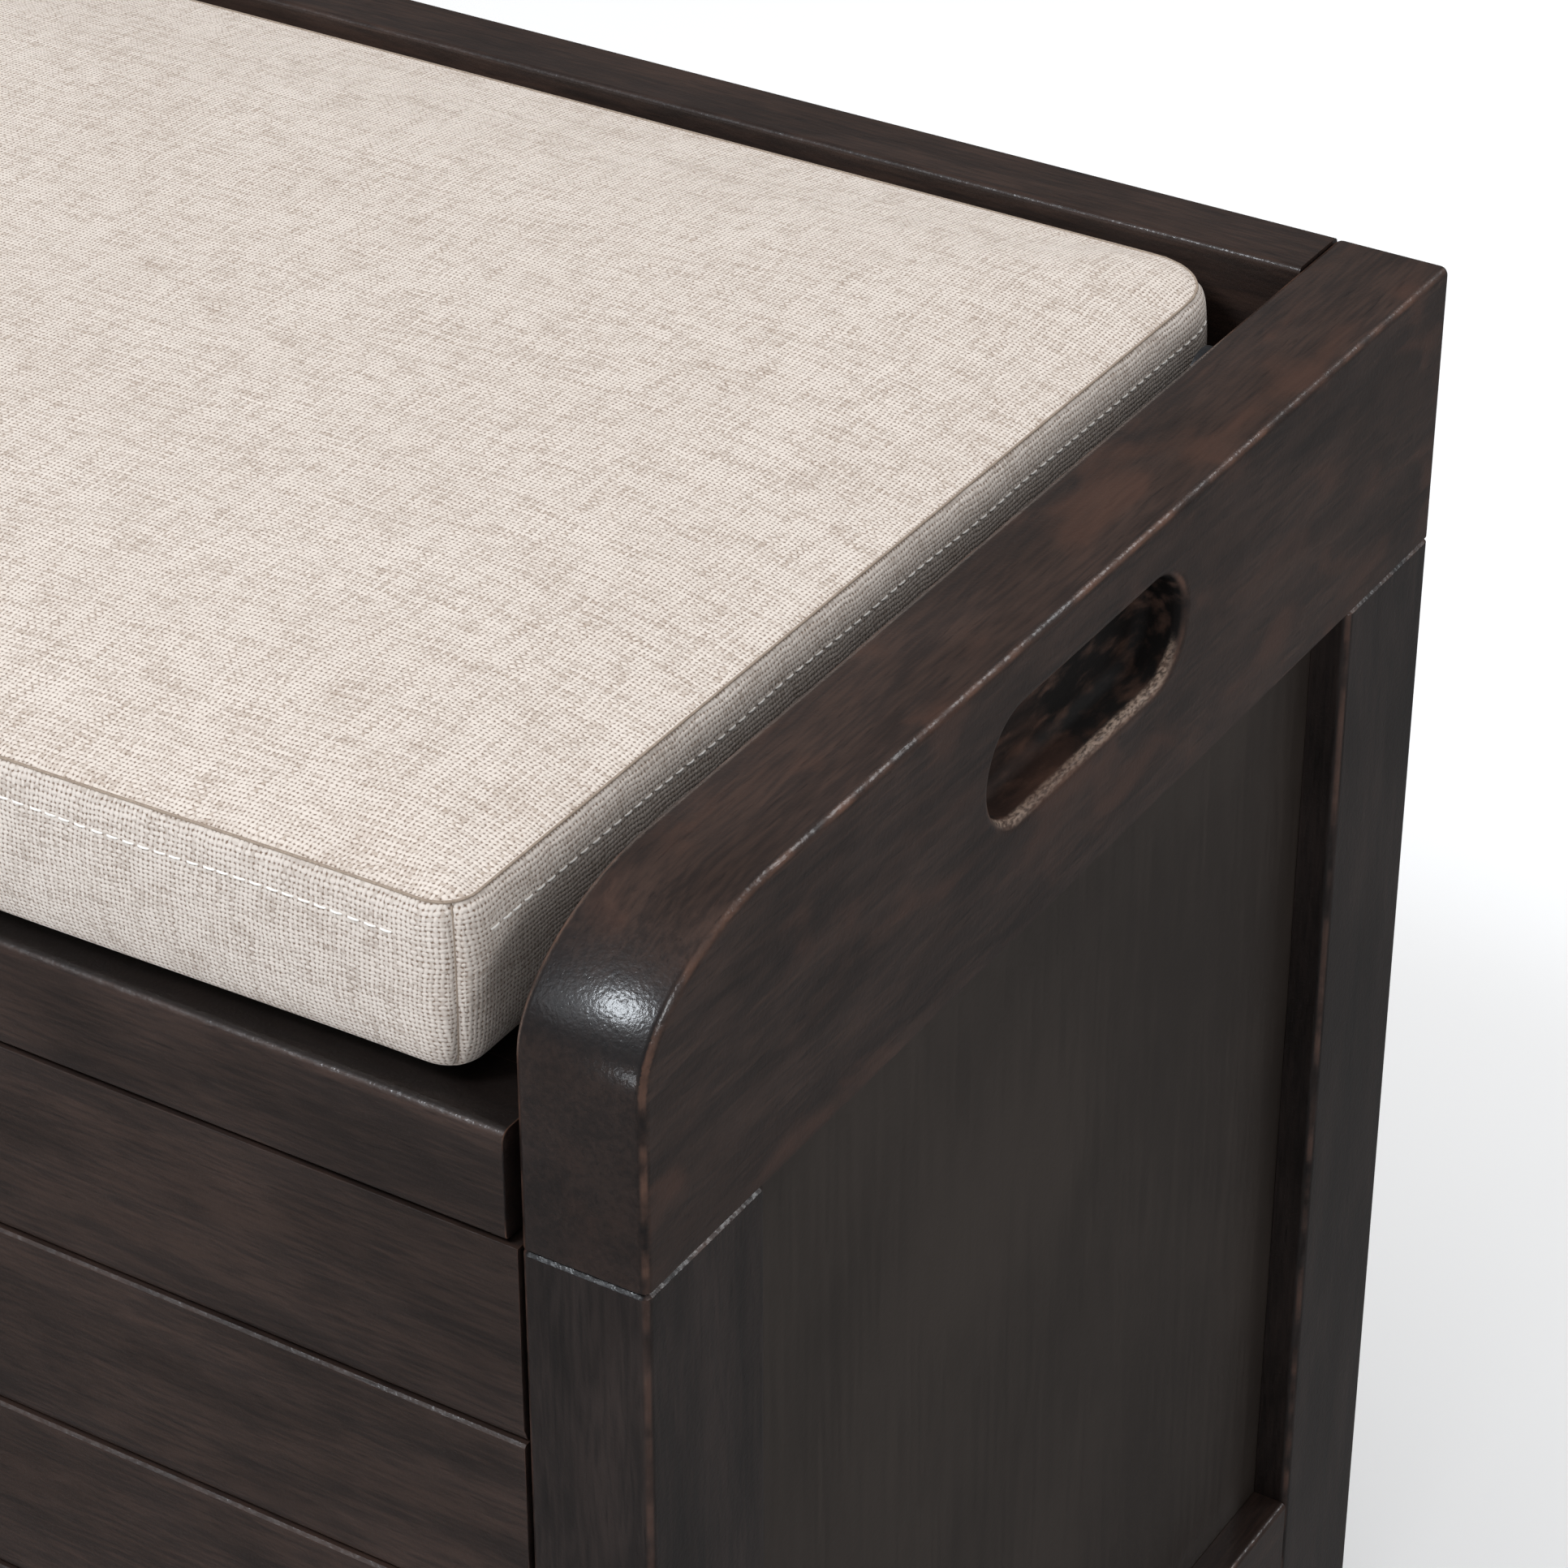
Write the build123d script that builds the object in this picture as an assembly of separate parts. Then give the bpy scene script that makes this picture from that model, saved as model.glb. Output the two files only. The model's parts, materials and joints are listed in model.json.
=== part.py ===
from build123d import *
import os

# Storage bench with a flip-top lid and a boxed seat cushion. Millimetres.
# +X is the sitter's left-to-right width as seen from the front, -Y is the front, +Z is up.
# The origin is on the floor under the middle of the bench.

# Overall
BENCH_WIDTH = 1070
BENCH_DEPTH = 400
ARM_TOP = 500
SIDE_THICK = 34
EASED_EDGE = 2.5
JOINT_EASE = 0.9

# Side frames
ARM_HEIGHT = 84
ARM_CORNER_DEPTH = 54
ARM_CORNER_DROP = 31
ARM_REAR_CORNER = 2.2
LEG_DEPTH = 50
GLIDE_THICK = 5
GLIDE_RADIUS = 12
GLIDE_EASE = 1.5
NAIL_RADIUS = 1.5
NAIL_LENGTH = 16
SIDE_RAIL_TOP = 100
SIDE_RAIL_BOTTOM = 36
PANEL_RECESS = 11
SIDE_PANEL_THICK = 10
GROOVE_DEPTH = 8
GROOVE_PLAY = 0.2
RAIL_EASE = 1.8

# Finger pull in the outer face of each arm rail
PULL_LENGTH = 98
PULL_HEIGHT = 30.5
PULL_BELOW_TOP = 33
PULL_DEPTH = 13
PULL_RIM = 3.6
PULL_FLOOR_ROUND = 4

# Front
PLANK_COUNT = 6
PLANK_PITCH = 57
PLANK_THICK = 18
PLANK_GAP = 1.2
PLANK_END_GAP = 0.5
BEVEL_HEIGHT = 3.4
BEVEL_DEPTH = 1.3
PLANK_TOP_CHAMFER = 0.8
PLANK_TOP_EASE = 0.15
TONGUE_THICK = 6
TONGUE_REACH = 6
FRONT_RAIL_THICK = 24
FRONT_RAIL_EASE = 1.2
BATTEN_WIDTH = 32
BATTEN_THICK = 18
BATTEN_TOP = 400
BATTEN_FLOOR_GAP = 1

# Back
BACK_THICK = 23
BACK_PANEL_THICK = 6
BACK_STILE_WIDTH = 50

# Floor of the box
BOTTOM_THICK = 9
BOTTOM_PLAY = 0.5
CLEAT_SIZE = 20
CLEAT_BOTTOM = 64

# Lid
LID_TOP = 447
LID_PANEL_THICK = 18
LID_EDGE_HEIGHT = 30
LID_EDGE_DEPTH = 24
LID_SIDE_GAP = 3.5
LID_REAR_GAP = 1
LID_NOSE_ROUND = 3
LID_LOWER_ROUND = 1.5
LID_BATTEN_WIDTH = 60
LID_BATTEN_THICK = 12
LID_BATTEN_CHAMFER = 2
REST_WIDTH = 16
REST_HEIGHT = 25
REST_REAR = 67
REST_ROUND = 2
REST_SETBACK = 2
BUMPER_THICK = 2
BUMPER_RADIUS = 5
BUMPER_SHIFT = 1.5
BUMPER_YS = (-155, 52)

# Lid pivots, one through each arm rail
PIVOT_Y = 127
PIVOT_Z = 488
PIN_RADIUS = 4
PIN_CLEARANCE = 0.05
PIN_DEPTH = 24
PIN_END_REACH = 3
WASHER_THICK = 0.5
WASHER_RADIUS = 7
PLATE_THICK = 2.5
PLATE_HEAD_RADIUS = 9
PLATE_FOOT_WIDTH = 64
PLATE_FOOT_HEIGHT = 14

# Seat cushion
CUSHION_HALF_WIDTH = 484
CUSHION_FRONT = -195
CUSHION_REAR = 172
CUSHION_TOP = 506
CUSHION_CORNER = 14
CUSHION_TOP_EDGE = 12
CUSHION_BOTTOM_EDGE = 7
CUSHION_LIFT = 0.1
COVER_THICK = 1.5
GRIP_THICK = 1.2
GRIP_SIZE = 60
GRIP_XS = (-400, 400)
GRIP_YS = (-130, 80)

# Fasteners
DOWEL_RADIUS = 4
DOWEL_LENGTH = 40
SCREW_RADIUS = 1.75
SCREW_HEAD_RADIUS = 3.5
SCREW_HEAD_LENGTH = 2
SCREW_LENGTH = 26
LEG_DOWEL_INSETS = (14, 36)
SIDE_RAIL_DOWEL_HEIGHTS = (57, 80)
BACK_RAIL_DOWEL_HEIGHTS = (50, 76, 440, 476)
FRONT_RAIL_DOWEL_HEIGHTS = (46, 64)
STILE_DOWEL_XS = (-9, 9)
LONG_CLEAT_SCREW_XS = (-420, -210, 210, 420)
FRONT_CLEAT_SCREW_RISE = 4.5
SIDE_CLEAT_SCREW_YS = (-110, 0, 110)
REST_SCREW_YS = (-140, -50, 40)
REST_SCREW_DROP = 6
LID_SCREW_YS = (-130, -45, 40)
PLATE_SCREW_STEPS = (-22, 22)

HALF_WIDTH = BENCH_WIDTH / 2
INNER_X = HALF_WIDTH - SIDE_THICK
FRONT_Y = -BENCH_DEPTH / 2
REAR_Y = BENCH_DEPTH / 2
ARM_BOTTOM = ARM_TOP - ARM_HEIGHT
BACK_FRONT_Y = REAR_Y - BACK_THICK
BACK_MID_Y = REAR_Y - BACK_THICK / 2
SIDE_MID_X = HALF_WIDTH - SIDE_THICK / 2
PLANK_BACK_Y = FRONT_Y + PLANK_THICK
FRONT_RAIL_BACK_Y = FRONT_Y + FRONT_RAIL_THICK
FRONT_RAIL_TOP = ARM_BOTTOM - PLANK_COUNT * PLANK_PITCH
CLEAT_TOP = CLEAT_BOTTOM + CLEAT_SIZE
BOTTOM_TOP = CLEAT_TOP + BOTTOM_THICK
LID_HALF_WIDTH = INNER_X - LID_SIDE_GAP
LID_REAR_Y = BACK_FRONT_Y - LID_REAR_GAP
LID_EDGE_BACK_Y = FRONT_Y + LID_EDGE_DEPTH
LID_UNDERSIDE = LID_TOP - LID_PANEL_THICK
REST_TOP = LID_UNDERSIDE - BUMPER_THICK
REST_FRONT = LID_EDGE_BACK_Y + REST_SETBACK
BATTEN_XS = (-INNER_X + BATTEN_WIDTH / 2, 0, INNER_X - BATTEN_WIDTH / 2)
LID_BATTEN_XS = (-370, 0, 370)
LID_BATTEN_FRONT = -150
LID_BATTEN_REAR = 60


def block(x_range, y_range, z_range):
    """A box between the lower and upper value on each axis."""
    centre = [(low + high) / 2 for low, high in (x_range, y_range, z_range)]
    size = [high - low for low, high in (x_range, y_range, z_range)]
    return Pos(*centre) * Box(*size)


def eased(shape, axis, size=EASED_EDGE):
    """Round the edges that run along one axis."""
    return fillet(shape.edges().filter_by(axis), size)


def eased_end(shape, axis, last):
    """Take a small chamfer round one end face, so that a butt joint shows as a fine groove."""
    face = shape.faces().sort_by(axis)[-1 if last else 0]
    return chamfer(face.edges(), JOINT_EASE)


def mirrored(shape):
    """The same piece for the left side."""
    return mirror(shape, about=Plane.YZ)


def rod(start, direction, radius, length):
    """A cylinder that starts at a point and runs along a direction."""
    plane = Plane(origin=start, z_dir=direction)
    return extrude(plane * Circle(radius), length)


def dowel(middle, direction):
    """A dowel, given by its middle, with its direction along one axis."""
    start = Vector(*middle) - Vector(*direction) * (DOWEL_LENGTH / 2)
    return rod(start, direction, DOWEL_RADIUS, DOWEL_LENGTH)


def screw(head, direction, length=SCREW_LENGTH):
    """A countersunk screw, given by the middle of its flat head."""
    plane = Plane(origin=head, z_dir=direction)
    standing = (Align.CENTER, Align.CENTER, Align.MIN)
    cone = Cone(SCREW_HEAD_RADIUS, SCREW_RADIUS, SCREW_HEAD_LENGTH, align=standing)
    return plane * cone + rod(head, direction, SCREW_RADIUS, length)


def without(shape, tools):
    """Cut every tool solid out of a shape."""
    return shape - list(tools)


def panel_pair(x_range, y_range, z_range, thin_axis):
    """A loose panel, and the slightly larger groove space that it stands in."""
    panel_ranges = [(low + GROOVE_PLAY, high - GROOVE_PLAY) for low, high in (x_range, y_range, z_range)]
    groove_ranges = [x_range, y_range, z_range]
    low, high = groove_ranges[thin_axis]
    panel_ranges[thin_axis] = (low, high)
    groove_ranges[thin_axis] = (low - GROOVE_PLAY / 2, high + GROOVE_PLAY / 2)
    return block(*panel_ranges), block(*groove_ranges)


# Fasteners come first, because the wooden pieces have their holes cut by them.

def side_frame_dowels():
    """Dowels of the right side frame: leg to arm rail, and bottom rail to legs."""
    dowels = []
    for end in (-1, 1):
        for inset in LEG_DOWEL_INSETS:
            dowels.append(dowel((SIDE_MID_X, end * (REAR_Y - inset), ARM_BOTTOM), (0, 0, 1)))
        for height in SIDE_RAIL_DOWEL_HEIGHTS:
            dowels.append(dowel((SIDE_MID_X, end * (REAR_Y - LEG_DEPTH), height), (0, 1, 0)))
    return dowels


def cross_rail_dowels():
    """Dowels at the right end of the long rails, along X."""
    front_mid_y = FRONT_Y + FRONT_RAIL_THICK / 2
    dowels = [dowel((INNER_X, BACK_MID_Y, height), (1, 0, 0)) for height in BACK_RAIL_DOWEL_HEIGHTS]
    dowels += [dowel((INNER_X, front_mid_y, height), (1, 0, 0)) for height in FRONT_RAIL_DOWEL_HEIGHTS]
    return dowels


def stile_dowels():
    """Dowels at both ends of the upright in the middle of the back."""
    heights = (SIDE_RAIL_TOP, ARM_BOTTOM)
    return [dowel((x, BACK_MID_Y, z), (0, 0, 1)) for x in STILE_DOWEL_XS for z in heights]


def batten_screws():
    """Screws from the inside battens into the middle of each front plank."""
    start_y = PLANK_BACK_Y + BATTEN_THICK
    heights = [ARM_BOTTOM - PLANK_PITCH * (i + 0.5) for i in range(PLANK_COUNT)]
    return [screw((x, start_y, z), (0, -1, 0)) for x in BATTEN_XS for z in heights]


def cleat_screws():
    """Screws through the floor cleats into the rails, and through the lid rests into the arm rails."""
    mid_z = CLEAT_BOTTOM + CLEAT_SIZE / 2
    low_z = CLEAT_BOTTOM + FRONT_CLEAT_SCREW_RISE
    side_x = INNER_X - CLEAT_SIZE
    rest_x = INNER_X - REST_WIDTH
    screws = []
    for x in LONG_CLEAT_SCREW_XS:
        screws.append(screw((x, FRONT_RAIL_BACK_Y + CLEAT_SIZE, low_z), (0, -1, 0)))
        screws.append(screw((x, BACK_FRONT_Y - CLEAT_SIZE, mid_z), (0, 1, 0)))
    for side in (-1, 1):
        for y in SIDE_CLEAT_SCREW_YS:
            screws.append(screw((side * side_x, y, mid_z), (side, 0, 0)))
        for y in REST_SCREW_YS:
            screws.append(screw((side * rest_x, y, REST_TOP - REST_SCREW_DROP), (side, 0, 0)))
    return screws


def lid_batten_screws():
    """Screws up through the lid battens into the lid panel."""
    start_z = LID_UNDERSIDE - LID_BATTEN_THICK
    return [screw((x, y, start_z), (0, 0, 1)) for x in LID_BATTEN_XS for y in LID_SCREW_YS]


def plate_screws():
    """Screws through the foot of each pivot plate into the end of the lid panel."""
    outer_x = LID_HALF_WIDTH + PLATE_THICK
    z = LID_TOP - LID_PANEL_THICK / 2
    screws = []
    for side in (-1, 1):
        for step in PLATE_SCREW_STEPS:
            screws.append(screw((side * outer_x, PIVOT_Y + step, z), (-side, 0, 0)))
    return screws


RIGHT_FRAME_DOWELS = side_frame_dowels()
LEFT_FRAME_DOWELS = [mirrored(d) for d in RIGHT_FRAME_DOWELS]
RIGHT_RAIL_DOWELS = cross_rail_dowels()
LEFT_RAIL_DOWELS = [mirrored(d) for d in RIGHT_RAIL_DOWELS]
STILE_DOWELS = stile_dowels()
BATTEN_SCREWS = batten_screws()
CLEAT_SCREWS = cleat_screws()
LID_BATTEN_SCREWS = lid_batten_screws()
PLATE_SCREWS = plate_screws()


def pivot_pin():
    """Steel pin pressed into the right arm rail, with its end standing in the pivot plate's hole."""
    start_x = INNER_X - PIN_END_REACH
    return rod((start_x, PIVOT_Y, PIVOT_Z), (1, 0, 0), PIN_RADIUS, PIN_END_REACH + PIN_DEPTH)


def side_panel():
    """Recessed panel of the right side, with the groove that holds it."""
    outer_x = HALF_WIDTH - PANEL_RECESS
    y_reach = REAR_Y - LEG_DEPTH + GROOVE_DEPTH
    z_range = (SIDE_RAIL_TOP - GROOVE_DEPTH, ARM_BOTTOM + GROOVE_DEPTH)
    return panel_pair((outer_x - SIDE_PANEL_THICK, outer_x), (-y_reach, y_reach), z_range, 0)


def back_panel():
    """Right half of the back, with the groove that holds it."""
    x_range = (BACK_STILE_WIDTH / 2 - GROOVE_DEPTH, INNER_X + GROOVE_DEPTH)
    y_range = (BACK_MID_Y - BACK_PANEL_THICK / 2, BACK_MID_Y + BACK_PANEL_THICK / 2)
    z_range = (SIDE_RAIL_TOP - GROOVE_DEPTH, ARM_BOTTOM + GROOVE_DEPTH)
    return panel_pair(x_range, y_range, z_range, 1)


SIDE_PANEL, SIDE_GROOVE = side_panel()
BACK_PANEL, BACK_GROOVE = back_panel()
PIVOT_PIN = pivot_pin()


def arm_rail():
    """Right arm rail: an elliptical front top corner and a blind finger pull in the outer face."""
    corner_y = FRONT_Y + ARM_CORNER_DEPTH
    corner_z = ARM_TOP - ARM_CORNER_DROP
    corner = EllipticalCenterArc((corner_y, corner_z), ARM_CORNER_DEPTH, ARM_CORNER_DROP, 90, arc_size=90)
    straight = Polyline(
        (FRONT_Y, corner_z),
        (FRONT_Y, ARM_BOTTOM),
        (REAR_Y, ARM_BOTTOM),
        (REAR_Y, ARM_TOP),
        (corner_y, ARM_TOP),
    )
    outline = Plane.YZ.offset(INNER_X) * make_face((corner + straight).edges())
    rail = extrude(outline, SIDE_THICK)
    rear_top = rail.edges().filter_by(Axis.X).sort_by(Axis.Z)[-1]
    rail = fillet(rear_top, ARM_REAR_CORNER)
    side_faces = rail.faces().filter_by(Plane.YZ)
    rims = [edge for edge in side_faces.edges() if edge.center().Z > ARM_BOTTOM + JOINT_EASE]
    rail = fillet(rims, EASED_EDGE)
    rail = eased_end(rail, Axis.Z, last=False)
    mouth = Plane(origin=(HALF_WIDTH, 0, ARM_TOP - PULL_BELOW_TOP), x_dir=(0, 1, 0), z_dir=(1, 0, 0))
    pocket = extrude(mouth * SlotOverall(PULL_LENGTH, PULL_HEIGHT), -PULL_DEPTH)
    pocket = fillet(pocket.faces().sort_by(Axis.X)[0].edges(), PULL_FLOOR_ROUND)
    rail = rail - pocket
    rail = fillet(rail.faces().sort_by(Axis.X)[-1].inner_wires()[0].edges(), PULL_RIM)
    tools = RIGHT_FRAME_DOWELS + RIGHT_RAIL_DOWELS + CLEAT_SCREWS
    return without(rail, tools + [SIDE_GROOVE, BACK_GROOVE, PIVOT_PIN])


def leg(front):
    """Right front or rear leg, grooved for the panels that it holds."""
    y_range = (FRONT_Y, FRONT_Y + LEG_DEPTH) if front else (REAR_Y - LEG_DEPTH, REAR_Y)
    post = eased(block((INNER_X, HALF_WIDTH), y_range, (GLIDE_THICK, ARM_BOTTOM)), Axis.Z)
    post = eased_end(eased_end(post, Axis.Z, last=True), Axis.Z, last=False)
    nail = glide_nail(sum(y_range) / 2)
    return without(post, RIGHT_FRAME_DOWELS + RIGHT_RAIL_DOWELS + [SIDE_GROOVE, BACK_GROOVE, nail])


def side_bottom_rail():
    """Bottom rail of the right side, between the legs."""
    reach = REAR_Y - LEG_DEPTH
    rail = block((INNER_X, HALF_WIDTH), (-reach, reach), (SIDE_RAIL_BOTTOM, SIDE_RAIL_TOP))
    rail = eased(rail, Axis.Y, RAIL_EASE)
    return without(rail, RIGHT_FRAME_DOWELS + CLEAT_SCREWS + [SIDE_GROOVE])


def glide_nail(y):
    """Nail that holds a glide, standing up into the leg."""
    return rod((SIDE_MID_X, y, GLIDE_THICK), (0, 0, 1), NAIL_RADIUS, NAIL_LENGTH)


def glide(front):
    """Plastic glide under a right leg, with its nail."""
    y = FRONT_Y + LEG_DEPTH / 2 if front else REAR_Y - LEG_DEPTH / 2
    disc = rod((SIDE_MID_X, y, 0), (0, 0, 1), GLIDE_RADIUS, GLIDE_THICK)
    disc = fillet(disc.faces().sort_by(Axis.Z)[0].edges(), GLIDE_EASE)
    return disc + glide_nail(y)


def front_plank(index):
    """A front plank, bevelled along its lower front edge, with a tongue that joins it to the plank above."""
    top = ARM_BOTTOM - index * PLANK_PITCH
    bottom = top - PLANK_PITCH + PLANK_GAP
    top_edge = PLANK_TOP_CHAMFER if index > 0 else PLANK_TOP_EASE
    outline = Polyline(
        (PLANK_BACK_Y, bottom),
        (PLANK_BACK_Y, top),
        (FRONT_Y + top_edge, top),
        (FRONT_Y, top - top_edge),
        (FRONT_Y, bottom + BEVEL_HEIGHT),
        (FRONT_Y + BEVEL_DEPTH, bottom),
        close=True,
    )
    half_width = INNER_X - PLANK_END_GAP
    plank = extrude(Plane.YZ.offset(-half_width) * make_face(outline.edges()), 2 * half_width)
    mid_y = FRONT_Y + PLANK_THICK / 2
    tongue_y = (mid_y - TONGUE_THICK / 2, mid_y + TONGUE_THICK / 2)
    if index > 0:
        plank = plank + block((-half_width, half_width), tongue_y, (top, top + PLANK_GAP + TONGUE_REACH))
    if index < PLANK_COUNT - 1:
        wide_y = (tongue_y[0] - GROOVE_PLAY, tongue_y[1] + GROOVE_PLAY)
        groove_z = (bottom, bottom + TONGUE_REACH + GROOVE_PLAY)
        plank = plank - block((-half_width, half_width), wide_y, groove_z)
    return without(plank, BATTEN_SCREWS)


def front_bottom_rail():
    """Rail under the planks, between the front legs."""
    rail = block((-INNER_X, INNER_X), (FRONT_Y, FRONT_RAIL_BACK_Y), (SIDE_RAIL_BOTTOM, FRONT_RAIL_TOP))
    rail = eased(rail, Axis.X, FRONT_RAIL_EASE)
    return without(rail, RIGHT_RAIL_DOWELS + LEFT_RAIL_DOWELS + CLEAT_SCREWS)


def front_batten(x):
    """Upright batten inside the front, behind the planks."""
    y_range = (PLANK_BACK_Y, PLANK_BACK_Y + BATTEN_THICK)
    z_range = (BOTTOM_TOP + BATTEN_FLOOR_GAP, BATTEN_TOP)
    batten = block((x - BATTEN_WIDTH / 2, x + BATTEN_WIDTH / 2), y_range, z_range)
    return without(batten, BATTEN_SCREWS)


def back_rail(z_range):
    """A long rail between the side frames at the back."""
    rail = block((-INNER_X, INNER_X), (BACK_FRONT_Y, REAR_Y), z_range)
    rail = eased(rail, Axis.X, RAIL_EASE)
    tools = RIGHT_RAIL_DOWELS + LEFT_RAIL_DOWELS + STILE_DOWELS + CLEAT_SCREWS
    return without(rail, tools + [BACK_GROOVE, mirrored(BACK_GROOVE)])


def back_centre_stile():
    """Upright in the middle of the back, between the two panels."""
    half = BACK_STILE_WIDTH / 2
    stile = block((-half, half), (BACK_FRONT_Y, REAR_Y), (SIDE_RAIL_TOP, ARM_BOTTOM))
    stile = eased(stile, Axis.Z, RAIL_EASE)
    return without(stile, STILE_DOWELS + [BACK_GROOVE, mirrored(BACK_GROOVE)])


def bottom_panel():
    """Floor of the storage box, lying on the cleats."""
    half_width = INNER_X - BOTTOM_PLAY
    y_range = (PLANK_BACK_Y + BOTTOM_PLAY, BACK_FRONT_Y - BOTTOM_PLAY)
    return block((-half_width, half_width), y_range, (CLEAT_TOP, BOTTOM_TOP))


def bottom_cleat(place):
    """A cleat under the floor, on the inside of one rail."""
    front_y = FRONT_RAIL_BACK_Y + CLEAT_SIZE
    back_y = BACK_FRONT_Y - CLEAT_SIZE
    ranges = {
        "front": ((-INNER_X, INNER_X), (FRONT_RAIL_BACK_Y, front_y)),
        "back": ((-INNER_X, INNER_X), (back_y, BACK_FRONT_Y)),
        "left": ((-INNER_X, -INNER_X + CLEAT_SIZE), (front_y, back_y)),
        "right": ((INNER_X - CLEAT_SIZE, INNER_X), (front_y, back_y)),
        "middle": ((-CLEAT_SIZE, CLEAT_SIZE), (front_y, back_y)),
    }
    x_range, y_range = ranges[place]
    return without(block(x_range, y_range, (CLEAT_BOTTOM, CLEAT_TOP)), CLEAT_SCREWS)


def lid_rest():
    """Ledge on the inside of the right arm rail. Its rear end also stops the open lid."""
    z_range = (REST_TOP - REST_HEIGHT, REST_TOP)
    ledge = block((INNER_X - REST_WIDTH, INNER_X), (REST_FRONT, REST_REAR), z_range)
    ledge = fillet(ledge.edges().filter_by(Axis.Y).sort_by(Axis.X)[:2], REST_ROUND)
    return without(ledge, CLEAT_SCREWS)


def lid_rest_bumpers():
    """Soft pads on the rests, two on each side, that the lid closes on."""
    x = INNER_X - REST_WIDTH / 2 - BUMPER_SHIFT
    starts = [(side * x, y, REST_TOP) for side in (-1, 1) for y in BUMPER_YS]
    return [rod(start, (0, 0, 1), BUMPER_RADIUS, BUMPER_THICK) for start in starts]


def pivot_washer():
    """Spring washer between the right pivot plate and the arm rail."""
    start = (INNER_X - WASHER_THICK, PIVOT_Y, PIVOT_Z)
    ring = rod(start, (1, 0, 0), WASHER_RADIUS, WASHER_THICK)
    return ring - rod(start, (1, 0, 0), PIN_RADIUS, WASHER_THICK)


def lid_panel():
    """Flat panel of the lid, with a tongue along its front edge."""
    x_range = (-LID_HALF_WIDTH, LID_HALF_WIDTH)
    panel = block(x_range, (LID_EDGE_BACK_Y, LID_REAR_Y), (LID_UNDERSIDE, LID_TOP))
    mid_z = LID_UNDERSIDE + LID_PANEL_THICK / 2
    tongue_z = (mid_z - TONGUE_THICK / 2, mid_z + TONGUE_THICK / 2)
    panel = panel + block(x_range, (LID_EDGE_BACK_Y - TONGUE_REACH, LID_EDGE_BACK_Y), tongue_z)
    return without(panel, LID_BATTEN_SCREWS + PLATE_SCREWS)


def lid_front_edge():
    """Deeper strip along the front of the lid, rounded where hands lift it."""
    x_range = (-LID_HALF_WIDTH, LID_HALF_WIDTH)
    strip = block(x_range, (FRONT_Y, LID_EDGE_BACK_Y), (LID_TOP - LID_EDGE_HEIGHT, LID_TOP))
    front_edges = strip.edges().filter_by(Axis.X).sort_by(Axis.Y)[:2].sort_by(Axis.Z)
    strip = fillet(front_edges[-1], LID_NOSE_ROUND)
    low_edge = strip.edges().filter_by(Axis.X).sort_by(Axis.Z)[0:2].sort_by(Axis.Y)[0]
    strip = fillet(low_edge, LID_LOWER_ROUND)
    mid_z = LID_UNDERSIDE + LID_PANEL_THICK / 2
    tongue_z = (mid_z - TONGUE_THICK / 2, mid_z + TONGUE_THICK / 2)
    return strip - block(x_range, (LID_EDGE_BACK_Y - TONGUE_REACH, LID_EDGE_BACK_Y), tongue_z)


def lid_batten(x):
    """Batten across the underside of the lid."""
    z_range = (LID_UNDERSIDE - LID_BATTEN_THICK, LID_UNDERSIDE)
    x_range = (x - LID_BATTEN_WIDTH / 2, x + LID_BATTEN_WIDTH / 2)
    batten = block(x_range, (LID_BATTEN_FRONT, LID_BATTEN_REAR), z_range)
    batten = chamfer(batten.faces().sort_by(Axis.Z)[0].edges(), LID_BATTEN_CHAMFER)
    return without(batten, LID_BATTEN_SCREWS)


def pivot_plate():
    """Steel plate on the right end of the lid: a foot on the lid and a head round the pin."""
    start_x = LID_HALF_WIDTH
    plane = Plane(origin=(start_x, PIVOT_Y, PIVOT_Z), x_dir=(0, 1, 0), z_dir=(1, 0, 0))
    foot_z = LID_TOP - LID_PANEL_THICK / 2 - PIVOT_Z
    stem = Pos(0, foot_z / 2) * Rectangle(2 * PLATE_HEAD_RADIUS, -foot_z)
    foot = Pos(0, foot_z) * SlotOverall(PLATE_FOOT_WIDTH, PLATE_FOOT_HEIGHT)
    outline = Circle(PLATE_HEAD_RADIUS) + stem + foot - Circle(PIN_RADIUS + PIN_CLEARANCE)
    return without(extrude(plane * outline, PLATE_THICK), PLATE_SCREWS)


def cushion_body(inset):
    """The boxed cushion's shape, drawn in all round by an inset."""
    half_width = CUSHION_HALF_WIDTH - inset
    depth = CUSHION_REAR - CUSHION_FRONT - 2 * inset
    bottom = LID_TOP + GRIP_THICK + CUSHION_LIFT + inset
    height = CUSHION_TOP - inset - bottom
    middle = (0, (CUSHION_FRONT + CUSHION_REAR) / 2, bottom)
    outline = Pos(*middle) * RectangleRounded(2 * half_width, depth, CUSHION_CORNER - inset)
    slab = extrude(outline, height)
    slab = fillet(slab.faces().sort_by(Axis.Z)[-1].edges(), CUSHION_TOP_EDGE - inset)
    return fillet(slab.faces().sort_by(Axis.Z)[0].edges(), CUSHION_BOTTOM_EDGE - inset)


def cushion_grip_pads():
    """Hook-and-loop patches between the lid and the cushion."""
    z_range = (LID_TOP, LID_TOP + GRIP_THICK)
    half = GRIP_SIZE / 2
    return [block((x - half, x + half), (y - half, y + half), z_range) for x in GRIP_XS for y in GRIP_YS]


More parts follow.
